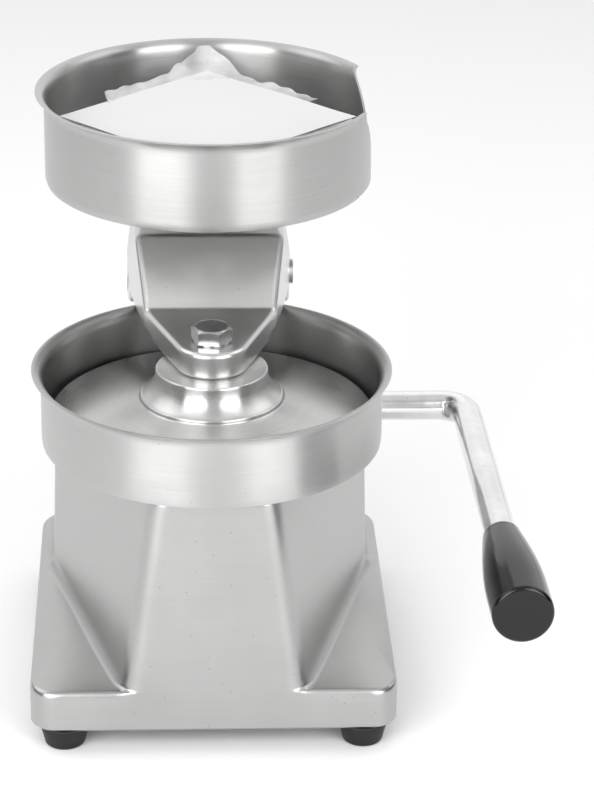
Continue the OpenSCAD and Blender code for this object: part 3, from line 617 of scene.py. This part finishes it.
def arm_skin(edge):
    """The head's casting: half sections across X, carried from the nose to the tail and mirrored.

    A section runs along the underside, up the fork's slot where there is one, round the bottom
    edge, up the side, which leans in above the ledge, and over the rounded top edge. Its top is
    the ledge, the sloping face and the flat block. The first sections lie along two radii of the
    nose, and the first of them is turned round the mould's axis to make the nose.
    """
    nose, base, shelf, crown, tail, half = 16.4, HUB_TOP, NOSE_TOP, 191.5, 128.0, math.radians(68)
    knots = [(-nose, shelf), (36.6, shelf), (61, crown), (tail, crown), (tail, 175)]
    top = rounded(knots, [3, 5, 8], [2, 12, 12, 1], 8)
    top = top[(top[:, 0] > 30)][:-1]
    start = -nose * math.cos(half)
    y = np.concatenate([np.linspace(start, 30, 10), top[:, 0], [79.995, 80.005, 88, 96, 113.995, 114.005]])
    y = np.unique(np.round(y, 4))
    height = np.interp(y, np.r_[-nose, 30, top[:, 0]], np.r_[shelf, shelf, top[:, 1]])
    under = np.interp(y, [26.2, 29.2, 82, 88.2, 102.5, tail], [base, 154.4, 154.4, 147.5, 147.5, 164.0])
    plan = np.interp(y, [start, 36.6, 63, 92, 109, tail], [nose * math.sin(half), 30, 34.5, 38.4, 38.4, 34.8])
    soft = np.interp(y[:, None] + np.linspace(-6, 6, 13), y, plan).mean(1)
    width = np.where((y > 45) & (y < 120), soft, plan)
    slot = np.where(y > 114, 177.5, np.where(y > 80, 172.7, under))
    slot_half = np.where(y > 80, 20.0, 0.6 * width)
    radius = np.interp(y, [30, 40, 60, 72], [edge, 1.5 * edge, 1.5 * edge, 5.0])
    skew = start * np.clip((30 - y) / (30 - start), 0, 1)

    def lean(z):
        return np.minimum(width[:, None], 39.6 - 5.2 * np.clip((z - shelf) / 23, 0, 1.3))

    s, one = np.linspace(0, 1, 5)[None, :], np.ones((1, 5))
    w, r, h, u, e = width[:, None], radius[:, None], height[:, None], under[:, None], edge
    sl, sh = slot[:, None], slot_half[:, None]
    low = np.radians(np.linspace(-75, 0, 5))[None, :]
    high = np.radians(np.linspace(0, 90, 9))[None, :]
    side = u + e + (h - r - u - e) * np.linspace(0.1, 0.92, 9)[None, :]
    shoulder = lean(h - r)
    x = np.concatenate([
        sh * s, sh * one, sh + (w - e - sh) * s, w - e + e * np.cos(low), lean(side),
        shoulder - r + r * np.cos(high), (shoulder - r) * np.linspace(0.8, 0, 5)[None, :],
    ], 1)
    z = np.concatenate([
        sl * one, sl + (u - sl) * s, u * one, u + e + e * np.sin(low), side, h - r + r * np.sin(high), h * one,
    ], 1)
    right = np.stack([x, y[:, None] + skew[:, None] * (x / w - 1), z], -1)
    left = right * [-1, 1, 1]
    turn = np.linspace(half, -half, 33)[:, None] - np.pi / 2
    reach = np.hypot(right[0, :, 0], right[0, :, 1])[None, :]
    tip = np.stack([reach * np.cos(turn), reach * np.sin(turn), z[:1] + 0 * turn], -1)
    middle_of = np.array([slot_half[-1] + 1.5, tail, slot[-1] + 1.5])
    caps = []
    for row, way in ((right[-1], 1), (left[-1], -1)):
        hub = np.broadcast_to(middle_of * [way, 1, 1], row.shape)
        caps.append(surface(np.stack([row, hub], 1) * MM, True))
    return [surface(right * MM), surface(left[:, ::-1] * MM), surface(tip * MM), *caps]


def pan_paths(height, hole):
    """Inner and outer profile of a pan from its hole to its rim, as (radius, height).

    A flat floor, a round corner, an upright wall and a flare that turns outwards to level.
    """
    wall, rim, corner = PAN_WALL, PAN_RIM, PAN_CORNER
    outer_r, flare_z, edge = PAN_R + wall, height - rim - wall, wall / 2
    inner = np.concatenate([
        [(hole, wall)], arc((PAN_R - corner + wall, corner), corner - wall, -90, 0),
        arc((outer_r + rim, flare_z), rim + wall, 180, 97, 12),
        arc((outer_r + rim - edge, height - edge), edge, 90, 0, 5),
    ])
    outer = np.concatenate([
        [(hole, 0)], arc((outer_r - corner, corner), corner, -90, 0),
        arc((outer_r + rim, flare_z), rim, 180, 97, 12),
        arc((outer_r + rim - edge, height - edge), edge, -90, 0, 5),
    ])
    return inner, outer


def pan(inner, outer, limit, angles, count=46):
    """A pan whose wall ends at the height limit(angle): both profiles are cut there and joined.

    Each profile is walked by its length, and for each angle it stops where its height reaches
    the limit, so a notch in the wall keeps a clean edge.
    """
    sides = []
    t = np.concatenate([np.linspace(0, 0.3, 6)[:-1], np.linspace(0.3, 1, count - 5)])
    for path in (inner, outer):
        run = np.r_[0, np.cumsum(np.linalg.norm(np.diff(path, axis=0), axis=1))]
        rising = np.maximum.accumulate(path[:, 1] + 1e-7 * run)
        stop = np.minimum(np.interp(limit, rising, run), run[-1])
        s = stop[:, None] * t[None, :]
        r, z = np.interp(s, run, path[:, 0]), np.interp(s, run, path[:, 1])
        sides.append(np.stack([r * np.cos(angles)[:, None], r * np.sin(angles)[:, None], z], -1))
    return surface(np.concatenate([sides[0], sides[1][:, ::-1]], 1), True, True)


def notch_limit(angles, foot, top, lip):
    """Height of the dish's wall by angle: a rounded foot, then flanks that open towards the rim."""
    height, rim, radius = DISH_H, PAN_RIM, PAN_R + PAN_WALL / 2
    w = np.where(np.cos(angles) > 0, np.abs(radius * np.sin(angles)), 1e3)
    straight = height - rim - lip - foot
    flank = lip + foot + straight * (np.clip((w - foot) / (top - foot), 0, 1)) ** (1 / 1.3)
    bowl = lip + foot - np.sqrt(np.maximum(foot**2 - np.minimum(w, foot) ** 2, 0))
    mouth = height - rim + (w - top) * (rim + 2) / (2 * rim + 2)
    return np.where(w < foot, bowl, np.where(w < top, flank, np.minimum(mouth, height + 1)))


def disc_profile():
    """The press disc: a thin edge, a shallow cone, a round lip, a concave flare and the hub's flat top.

    The flare's radius falls with the power 2.6 of the height that is left to the top.
    """
    t = np.linspace(0, 1, 22)
    flare = np.stack([25.05 + 6.25 * (1 - t) ** 2.6, 140.05 + 11.35 * t], -1)
    lip = np.concatenate([arc((33.0, 138.8), 0.8, -90, -180, 5), arc((31.1, 139.05), 1.1, 0, 65, 7)])
    rim = np.concatenate([
        [(5, 127.3), (70, 127.3)], arc((70.8, 128.5), 1.2, -80, 0, 5), arc((71.2, 130.0), 0.8, 0, 80, 5),
    ])
    cone = [(60, 132.6), (48, 135.0), (38, 137.0)]
    brow = arc((24.2, HUB_TOP - 0.8), 0.8, 20, 90, 5)
    return np.concatenate([rim, cone, lip, flare, brow, [(5, HUB_TOP)]])


def hex_head(across, height, count=180):
    """A hexagon head: the flats' radius (across/2)/cos(a), cut by a cone of 30 degrees at the top."""
    a = np.linspace(0, 2 * np.pi, count, endpoint=False)[:, None]
    flats = across / 2 / np.cos((a + np.pi / 6) % (np.pi / 3) - np.pi / 6)
    face = 0.46 * across
    drop = np.linspace(1, 0, 15) ** 1.2 * (0.578 * across - face) * math.tan(math.radians(30))
    z = np.concatenate([[0, 0], height - drop, [height - 0.15, height - 0.15]])
    cone = np.concatenate([[0.01, 99], face + drop / math.tan(math.radians(30)), [face - 0.3, 0.01]])
    r = np.minimum(flats, cone)
    return surface(np.stack([r * np.cos(a), r * np.sin(a), z + 0 * a], -1), True)


def tube(path, radius, squeeze=0.0, where=None, count=40):
    """A round bar along a flat path in X and Y: a circle in the plane across each point's tangent.

    squeeze flattens the circle's height near the bend, as a bent bar is.
    """
    tangent = np.gradient(path, axis=0)
    tangent /= np.linalg.norm(tangent, axis=1, keepdims=True)
    side = np.stack([-tangent[:, 1], tangent[:, 0]], -1)
    a = np.linspace(0, 2 * np.pi, count, endpoint=False)
    flat = 1 - squeeze * (where if where is not None else np.zeros(len(path)))
    across = radius * np.cos(a)[None, :] * flat[:, None]
    up = radius * np.sin(a)[None, :] * (2 - flat)[:, None]
    points = np.stack([
        path[:, 0, None] + side[:, 0, None] * across, path[:, 1, None] + side[:, 1, None] * across, up,
    ], -1)
    caps = [np.repeat(points[k].mean(0)[None, None], count, 1) for k in (0, -1)]
    return surface(np.concatenate([caps[0], points, caps[1]], 0), False, True)


def paper_pile(width, height, sheets, seed=3):
    """A pile: square outlines with small round corners, each layer shifted and turned a little."""
    rng = np.random.default_rng(seed)
    a = np.linspace(0, 2 * np.pi, 96, endpoint=False)
    square = width / 2 / np.maximum(np.abs(np.cos(a)), np.abs(np.sin(a)))
    square = np.minimum(square, width / 2 * 1.385)
    z = np.repeat(np.linspace(0, height, sheets + 1), 2)[1:-1]
    shift = np.repeat(rng.normal(0, 0.25, (sheets, 2)), 2, 0)
    turn = np.repeat(rng.normal(0, 0.006, sheets), 2) + np.pi / 4
    x = square[:, None] * np.cos(a[:, None] + turn) + shift[:, 0]
    y = square[:, None] * np.sin(a[:, None] + turn) + shift[:, 1]
    points = np.stack([x, y, z + 0 * x], -1)
    mids = [np.stack([x[:, k] * 0, y[:, k] * 0, z[k] + 0 * x[:, k]], -1)[:, None] for k in (0, -1)]
    return surface(np.concatenate([mids[0], points, mids[1]], 1), True)


def square_grid(size, turn, count):
    """A square's grid: p and q from -1 to 1 along its sides, and x and y, turned by an angle."""
    u = np.linspace(-1, 1, count)
    p, q = np.meshgrid(u, u, indexing="ij")
    a = math.radians(turn)
    x = size / 2 * (p * math.cos(a) - q * math.sin(a))
    y = size / 2 * (p * math.sin(a) + q * math.cos(a))
    return p, q, x, y


def loose_sheet(size, turn, bow, count=48):
    """A square sheet turned by an angle: its corners rise with the fourth power of the way out."""
    p, q, x, y = square_grid(size, turn, count)
    out = (p * p + q * q) / 2
    z = bow * (0.25 * (1 - out) + out**4 * (0.25 + 0.2 * np.sin(3 * p + 1)) + 0.06 * np.sin(5 * q + 2 * p))
    return np.stack([x, y, z], -1)


def corner_film(size, turn, offset, count=90):
    """A square film on the pile, its corners bent up along the dish's wall and crumpled.

    Past a radius, smaller on the left, the way out is carried round a quarter circle and then
    straight up, and folds of a few sine waves across the way out grow towards the rim.
    """
    x, y = square_grid(size, turn, count)[2:]
    x, y = x + offset[0], y + offset[1]
    way, angle = np.hypot(x, y), np.arctan2(y, x)
    flat = 58 - 12 * np.clip(-x / 40, 0, 1)
    past, bend = np.maximum(way - flat, 0), 9.0
    quarter = np.minimum(past / bend, np.pi / 2 * 0.86)
    r = np.minimum(way, flat) + bend * np.sin(quarter)
    z = bend * (1 - np.cos(quarter)) + np.maximum(past - bend * np.pi / 2 * 0.86, 0)
    grown = np.clip((way - 44) / 20, 0, 1) ** 2
    fold = np.sin(9 * angle + 0.1 * way) + 0.4 * np.sin(31 * angle + 2)
    fold += 0.6 * np.abs(np.sin(17 * angle - 0.23 * way + 1))
    r = np.minimum(r + grown * 1.1 * fold - 1.2 * grown, 72.5)
    z = np.maximum(z + grown * 1.3 * (fold + 0.8), 0)
    return np.stack([r * np.cos(angle), r * np.sin(angle), np.minimum(z, 14.5)], -1)


# Stage


def make_floor(scene, stage):
    """A wide level floor with a faint cloud of tone."""
    points = np.array([[-6, -6, 0], [6, -6, 0], [6, 6, 0], [-6, 6, 0]], float)
    mesh = bpy.data.meshes.new("floor")
    mesh.from_pydata(points.tolist(), [], [(0, 1, 2, 3)])
    material, tree, bsdf, place = shader("floor")
    cloud = add(tree, "ShaderNodeTexNoise", {"Vector": place, "Scale": 3.0}).outputs["Fac"]
    base = list(stage.floor_color)
    tree.links.new(mixed(tree, cloud, [c * 0.99 for c in base], base), bsdf.inputs["Base Color"])
    bsdf.inputs["Roughness"].default_value = 0.8
    mesh.materials.append(material)
    floor = bpy.data.objects.new("floor", mesh)
    scene.collection.objects.link(floor)


def make_lights(scene, stage):
    """Four soft lights that face the press, each at a turn to the left and a height in degrees."""
    centre = np.array([0.0, 0.0, 0.13])
    lights = [
        ("key", 34, 24, 1.5, (1.0, 1.1), stage.key_power),
        ("fill", -35, 24, 1.5, (0.9, 1.1), stage.fill_power),
        ("left", 100, 42, 1.5, (1.0, 1.0), stage.side_power),
        ("right", -105, 42, 1.5, (0.9, 1.0), 0.8 * stage.side_power),
    ]
    for name, around, height, far, size, power in lights:
        a, b = math.radians(around), math.radians(height)
        way = np.array([-math.sin(a) * math.cos(b), -math.cos(a) * math.cos(b), math.sin(b)])
        lamp = bpy.data.lights.new(name, "AREA")
        lamp.shape, lamp.size, lamp.size_y, lamp.energy = "RECTANGLE", size[0], size[1], power
        holder = bpy.data.objects.new(name, lamp)
        holder.rotation_euler = Vector(way).to_track_quat("Z", "Y").to_euler()
        holder.location = centre + far * way
        scene.collection.objects.link(holder)


def make_room(scene, stage):
    """A room that is bright overhead, behind the press and behind the camera."""
    world = bpy.data.worlds.new("room")
    world.use_nodes = True
    tree = world.node_tree
    split = add(tree, "ShaderNodeSeparateXYZ", {0: add(tree, "ShaderNodeTexCoord").outputs["Generated"]})
    up = ranged(tree, split.outputs[2], 0.16, 1.6, 0.4, 0.95)
    behind = ranged(tree, split.outputs[1], 0.0, stage.back, 0.2, 0.8)
    ahead = ranged(tree, split.outputs[1], 1.3, 0.0, -0.95, -0.6)
    total = add(tree, "ShaderNodeMath", {0: up, 1: behind}, operation="ADD").outputs[0]
    total = add(tree, "ShaderNodeMath", {0: total, 1: ahead}, operation="ADD").outputs[0]
    tree.links.new(total, tree.nodes["Background"].inputs["Color"])
    tree.nodes["Background"].inputs["Strength"].default_value = stage.sky
    scene.world = world


def make_camera(scene):
    """The camera, from its place, yaw, pitch, roll and focal length."""
    camera = bpy.data.cameras.new("camera")
    camera.sensor_fit, camera.sensor_height, camera.lens = "VERTICAL", SENSOR, CAMERA_FOCAL * SENSOR
    camera.clip_start, camera.clip_end = 0.05, 50
    yaw, pitch, roll = (math.radians(a) for a in (CAMERA_YAW, CAMERA_PITCH, CAMERA_ROLL))
    ahead = np.array([math.sin(yaw) * math.cos(pitch), math.cos(yaw) * math.cos(pitch), -math.sin(pitch)])
    right = np.array([math.cos(yaw), -math.sin(yaw), 0])
    up = np.cross(right, ahead)
    c, s = math.cos(roll), math.sin(roll)
    columns = [right * c + up * s, up * c - right * s, -ahead]
    holder = bpy.data.objects.new("camera", camera)
    turn = Matrix(np.array(columns).T.tolist()).to_4x4()
    holder.matrix_world = Matrix.Translation(spot(*CAMERA_PLACE).tolist()) @ turn
    scene.collection.objects.link(holder)
    scene.camera = holder


# Settings in the sidebar


class PressFinish(bpy.types.PropertyGroup):
    cast_color: bpy.props.FloatVectorProperty(
        name="Casting", description="Colour of the cast and turned aluminium", subtype="COLOR",
        default=(0.46, 0.46, 0.456), min=0, max=1)
    steel_color: bpy.props.FloatVectorProperty(
        name="Pans", description="Colour of the steel bowl and dish", subtype="COLOR",
        default=(0.53, 0.53, 0.526), min=0, max=1)
    plate_color: bpy.props.FloatVectorProperty(
        name="Plating", description="Colour of the plated crank and bolts", subtype="COLOR",
        default=(0.8, 0.8, 0.8), min=0, max=1)
    grip_color: bpy.props.FloatVectorProperty(
        name="Grip", description="Colour of the lever's grip", subtype="COLOR",
        default=(0.003, 0.003, 0.003), min=0, max=1)
    rubber_color: bpy.props.FloatVectorProperty(
        name="Feet", description="Colour of the rubber feet", subtype="COLOR",
        default=(0.006, 0.006, 0.006), min=0, max=1)
    paper_color: bpy.props.FloatVectorProperty(
        name="Paper", description="Colour of the papers", subtype="COLOR",
        default=(0.7, 0.7, 0.7), min=0, max=1)


class PressShape(bpy.types.PropertyGroup):
    base_edge: bpy.props.FloatProperty(
        name="Plate edge", description="Rounding of the base plate's upper edge", unit="LENGTH", precision=4,
        default=0.0032, min=0.001, max=0.005)
    base_fillet: bpy.props.FloatProperty(
        name="Column fillet", description="Fillet between the column and the plate", unit="LENGTH", precision=4,
        default=0.0065, min=0.002, max=0.009)
    arm_edge: bpy.props.FloatProperty(
        name="Arm edge", description="Rounding of the arm's edges", unit="LENGTH", precision=4,
        default=0.0021, min=0.0005, max=0.003)
    sheets: bpy.props.IntProperty(
        name="Paper layers", description="Layers drawn in the pile of papers", default=40, min=5, max=80)


class PressStage(bpy.types.PropertyGroup):
    floor_color: bpy.props.FloatVectorProperty(
        name="Floor", description="Colour of the floor", subtype="COLOR", default=(0.9, 0.9, 0.9), min=0, max=1)
    key_power: bpy.props.FloatProperty(
        name="Key light", description="Power of the light left of the camera", unit="POWER", default=16, min=0)
    fill_power: bpy.props.FloatProperty(
        name="Fill light", description="Power of the light right of the camera", unit="POWER", default=13, min=0)
    side_power: bpy.props.FloatProperty(
        name="Side light", description="Power of the lights at both sides", unit="POWER", default=4.5, min=0)
    back: bpy.props.FloatProperty(
        name="Backdrop", description="Brightness of the wall behind the press", default=2.0, min=0, max=5)
    sky: bpy.props.FloatProperty(
        name="Room", description="Brightness of the room round the press", default=0.5, min=0, max=3)


# Operators


class PRESS_OT_finishes(bpy.types.Operator):
    """Makes the materials and puts them on the frame's own nodes"""

    bl_idname = "press.finishes"
    bl_label = "Finishes"

    def execute(self, context):
        make_materials(context.scene.press_finish)
        for finish, nodes in NODE_FINISH.items():
            for name in nodes:
                slots = frame["nodes"][name].data.materials
                slots.clear()
                slots.append(MATERIALS[finish])
        return {"FINISHED"}


class PRESS_OT_base(bpy.types.Operator):
    """Builds the base casting with its bosses, and the feet"""

    bl_idname = "press.base"
    bl_label = "Base and feet"

    def execute(self, context):
        shape = context.scene.press_shape
        parts = [moved(base_shell(shape.base_edge / MM, shape.base_fillet / MM), AXIS)]
        for start, end in ((50.5, 71.0), (-71.0, -50.5)):
            boss = turned_to(lathe(tube_ring(10, 15, start, end), 64), "x")
            parts.append(moved(boss, spot(0, *SHAFT)))
        parts.append(moved(lathe(tube_ring(11, 16, 87.8, 114), 64), AXIS))
        for x in (-28, 28):
            parts.append(moved(lathe(tube_ring(3, 8, 100.5, 114), 40), spot(x, 91, 0)))
        feet = []
        for x in (-66, 66):
            for y in (-65, 93):
                place = spot(x, y, 0)
                parts.append(moved(lathe(tube_ring(2.5, 10.5, PLATE_LOW, 26), 40), place))
                profile = np.concatenate([
                    [(2.9, 4), (5, 4), (5, 0)], arc((7.5, 1.5), 1.5, -90, -6, 6), [(9.9, 5)],
                    arc((10.2, 9.7), 0.8, 0, 90, 5), [(2.9, 10.5)],
                ])
                feet.append(moved(lathe(profile * MM, 64), place))
        holes = [bore(9.98, -80, -50, SHAFT), bore(9.98, 50, 80, SHAFT)]
        put("base_skin", parts, "cast", "base", ["base_casting"], cutters=holes)
        put("foot_pads", feet, "rubber", "base", ["feet"])
        return {"FINISHED"}


class PRESS_OT_pans(bpy.types.Operator):
    """Builds the mould bowl and the notched paper dish"""

    bl_idname = "press.pans"
    bl_label = "Bowl and dish"

    def execute(self, context):
        angles = np.linspace(-np.pi, np.pi, 200, endpoint=False)
        bowl = pan(*pan_paths(BOWL_H, 10), np.full_like(angles, 99.0), angles)
        skin = [moved(bowl, AXIS + [0, 0, BOWL_FOOT], MM)]
        put("bowl_skin", skin, "bowl", "base", ["mould_bowl"])
        near = np.concatenate([
            np.linspace(-np.pi, -0.6, 110, endpoint=False), np.linspace(-0.6, 0.6, 140, endpoint=False),
            np.linspace(0.6, np.pi, 110, endpoint=False),
        ])
        dish = pan(*pan_paths(DISH_H, 4.4), notch_limit(near, foot=11, top=28, lip=6), near)
        skin = [moved(dish, DISH_AXIS + [0, 0, DISH_FOOT], MM)]
        put("dish_skin", skin, "dish", "head", ["paper_dish"])
        return {"FINISHED"}


class PRESS_OT_head(bpy.types.Operator):
    """Builds the head's casting, the press disc and its bolt"""

    bl_idname = "press.head"
    bl_label = "Press head"

    def execute(self, context):
        shape = context.scene.press_shape
        parts = [moved(p, AXIS) for p in arm_skin(shape.arm_edge / MM)]
        lug = np.concatenate([
            arc((124, 168.7), 8, 180, 380, 24), [(126, 181), (116, 181)],
        ])
        lug3 = np.stack([np.stack([np.full(len(lug), x), lug[:, 0], lug[:, 1]], -1) for x in (-5, 5)], 1)
        parts.append(moved(surface(lug3 * MM, True), AXIS))
        for x in (-5, 5):
            cap = np.stack([lug3[:, 0 if x < 0 else 1], np.broadcast_to([x, 121, 174], lug3[:, 0].shape)], 1)
            parts.append(moved(surface(cap * MM, True), AXIS))
        holes = [bore(9, -42, -35, HINGE), bore(6.5, 36.4, 42, HINGE)]
        put("arm_skin", parts, "arm", "head", ["press_arm"], cutters=holes)
        disc = [moved(lathe(disc_profile() * MM, 160), AXIS)]
        put("disc_skin", disc, "turned", "head", ["press_disc"])
        origin = spot(0, 0, BOLT_SEAT)
        points, faces = hex_head(16, 6.4)
        head = points @ turn_about_z(math.radians(19)).T, faces
        shank = lathe(np.array([(0.01, -27.2), (4.4, -27.2), (5, -26.4), (5, 0), (0.01, 0)]), 40)
        bolt = [moved(head, origin, MM), moved(shank, origin, MM)]
        put("bolt_skin", bolt, "bolt", "head", ["press_bolt"], 25)
        ring = lathe(tube_ring(5.2, 8.0, NOSE_TOP - BOLT_SEAT, 0.0, 0.15), 64)
        put("washer_skin", [moved(ring, origin)], "bolt", "head", ["press_washer"], 25)
        return {"FINISHED"}


class PRESS_OT_crank(bpy.types.Operator):
    """Builds the bent crank bar and its grip"""

    bl_idname = "press.crank"
    bl_label = "Crank"

    def execute(self, context):
        bend = arc((111, 83), 13, 90, math.degrees(SPLAY), 25)
        ahead = np.array([math.sin(SPLAY), -math.cos(SPLAY)])
        path = np.concatenate([
            along([(-72.5, SHAFT[0]), (111, SHAFT[0])], [30]), bend,
            along([bend[-1] + ahead, bend[-1] + 181 * ahead], [40]),
        ])
        where = np.exp(-(((path - bend[12]) ** 2).sum(1)) / 90)
        origin = spot(0, 0, SHAFT[1])
        skin = [moved(tube(path, 6.98, 0.05, where), origin, MM)]
        put("crank_skin", skin, "plate", "crank", ["crank_bar"])
        t = np.linspace(0, 1, 30)
        body = np.stack([8.75 + 4.5 * np.sin(np.pi / 2 * np.minimum(1, 1.35 * t)), 1.2 + 68.6 * t], -1)
        profile = np.concatenate([
            [(7.0, 2.5), (7.1, 0.4)], arc((7.75, 1.0), 1.0, -120, -10, 6), body,
            arc((11.25, 70), 2.0, 0, 90, 9), [(0.01, 72)],
        ])
        points, faces = turned_to(lathe(profile * MM, 96, closed=False), "y")
        start = bend[-1] + 131 * ahead
        grip = moved((points @ turn_about_z(SPLAY).T, faces), spot(*start, SHAFT[1]))
        put("grip_skin", [grip], "grip", "crank", ["crank_grip"])
        return {"FINISHED"}


class PRESS_OT_papers(bpy.types.Operator):
    """Builds the pile of papers and the clear film behind it"""

    bl_idname = "press.papers"
    bl_label = "Papers"

    def execute(self, context):
        shape = context.scene.press_shape
        origin = DISH_AXIS + [0, 0, DISH_FOOT + PAN_WALL * MM]
        skin = [moved(paper_pile(96.5, PILE_H, shape.sheets), origin, MM)]
        pile = put("pile_skin", skin, "pile", "head", ["paper_stack"], 30)
        for k, (size, turn, lift) in enumerate(((96.0, 46.2, 27.6), (97.5, 44.4, 28.1))):
            place = origin + np.array([0.8 - k, 0.6 * k - 0.5, lift]) * MM
            skin = [moved(surface(loose_sheet(size, turn, 2.2)), place, MM)]
            sheet = put(f"top_sheet_{k + 1}", skin, "sheet", "head", ())
        place = origin + np.array([0, 0, PILE_H + 0.15]) * MM
        skin = [moved(surface(corner_film(74.0, 47.0, (1.0, 26.0))), place, MM)]
        wrap = put("film_sheet", skin, "film", "head", (), 60)
        return {"FINISHED"}


class PRESS_OT_stage(bpy.types.Operator):
    """Sets up the floor, the lights, the room and the camera"""

    bl_idname = "press.stage"
    bl_label = "Stage"

    def execute(self, context):
        scene, stage = context.scene, context.scene.press_stage
        make_floor(scene, stage)
        make_lights(scene, stage)
        make_room(scene, stage)
        make_camera(scene)
        scene.view_settings.view_transform = "Standard"
        return {"FINISHED"}


class PRESS_PT_panel(bpy.types.Panel):
    """Lists the builders and their settings"""

    bl_idname = "PRESS_PT_panel"
    bl_label = "Patty press"
    bl_space_type = "VIEW_3D"
    bl_region_type = "UI"
    bl_category = "Press"

    def draw(self, context):
        for settings in ("press_finish", "press_shape", "press_stage"):
            owner = getattr(context.scene, settings)
            for key in owner.__annotations__:
                self.layout.prop(owner, key)
        for operator in OPERATORS:
            self.layout.operator(operator.bl_idname)


GROUPS_OF_SETTINGS = {"press_finish": PressFinish, "press_shape": PressShape, "press_stage": PressStage}
OPERATORS = [
    PRESS_OT_finishes, PRESS_OT_base, PRESS_OT_pans, PRESS_OT_head, PRESS_OT_crank, PRESS_OT_papers,
    PRESS_OT_stage,
]
CLASSES = [*GROUPS_OF_SETTINGS.values(), *OPERATORS, PRESS_PT_panel]


def register():
    for cls in CLASSES:
        bpy.utils.register_class(cls)
    for key, cls in GROUPS_OF_SETTINGS.items():
        setattr(bpy.types.Scene, key, bpy.props.PointerProperty(type=cls))


def unregister():
    for key in GROUPS_OF_SETTINGS:
        delattr(bpy.types.Scene, key)
    for cls in reversed(CLASSES):
        bpy.utils.unregister_class(cls)


def main():
    register()
    for operator in OPERATORS:
        name = operator.bl_idname.split(".")[1]
        getattr(bpy.ops.press, name)()


if __name__ == "__main__":
    main()
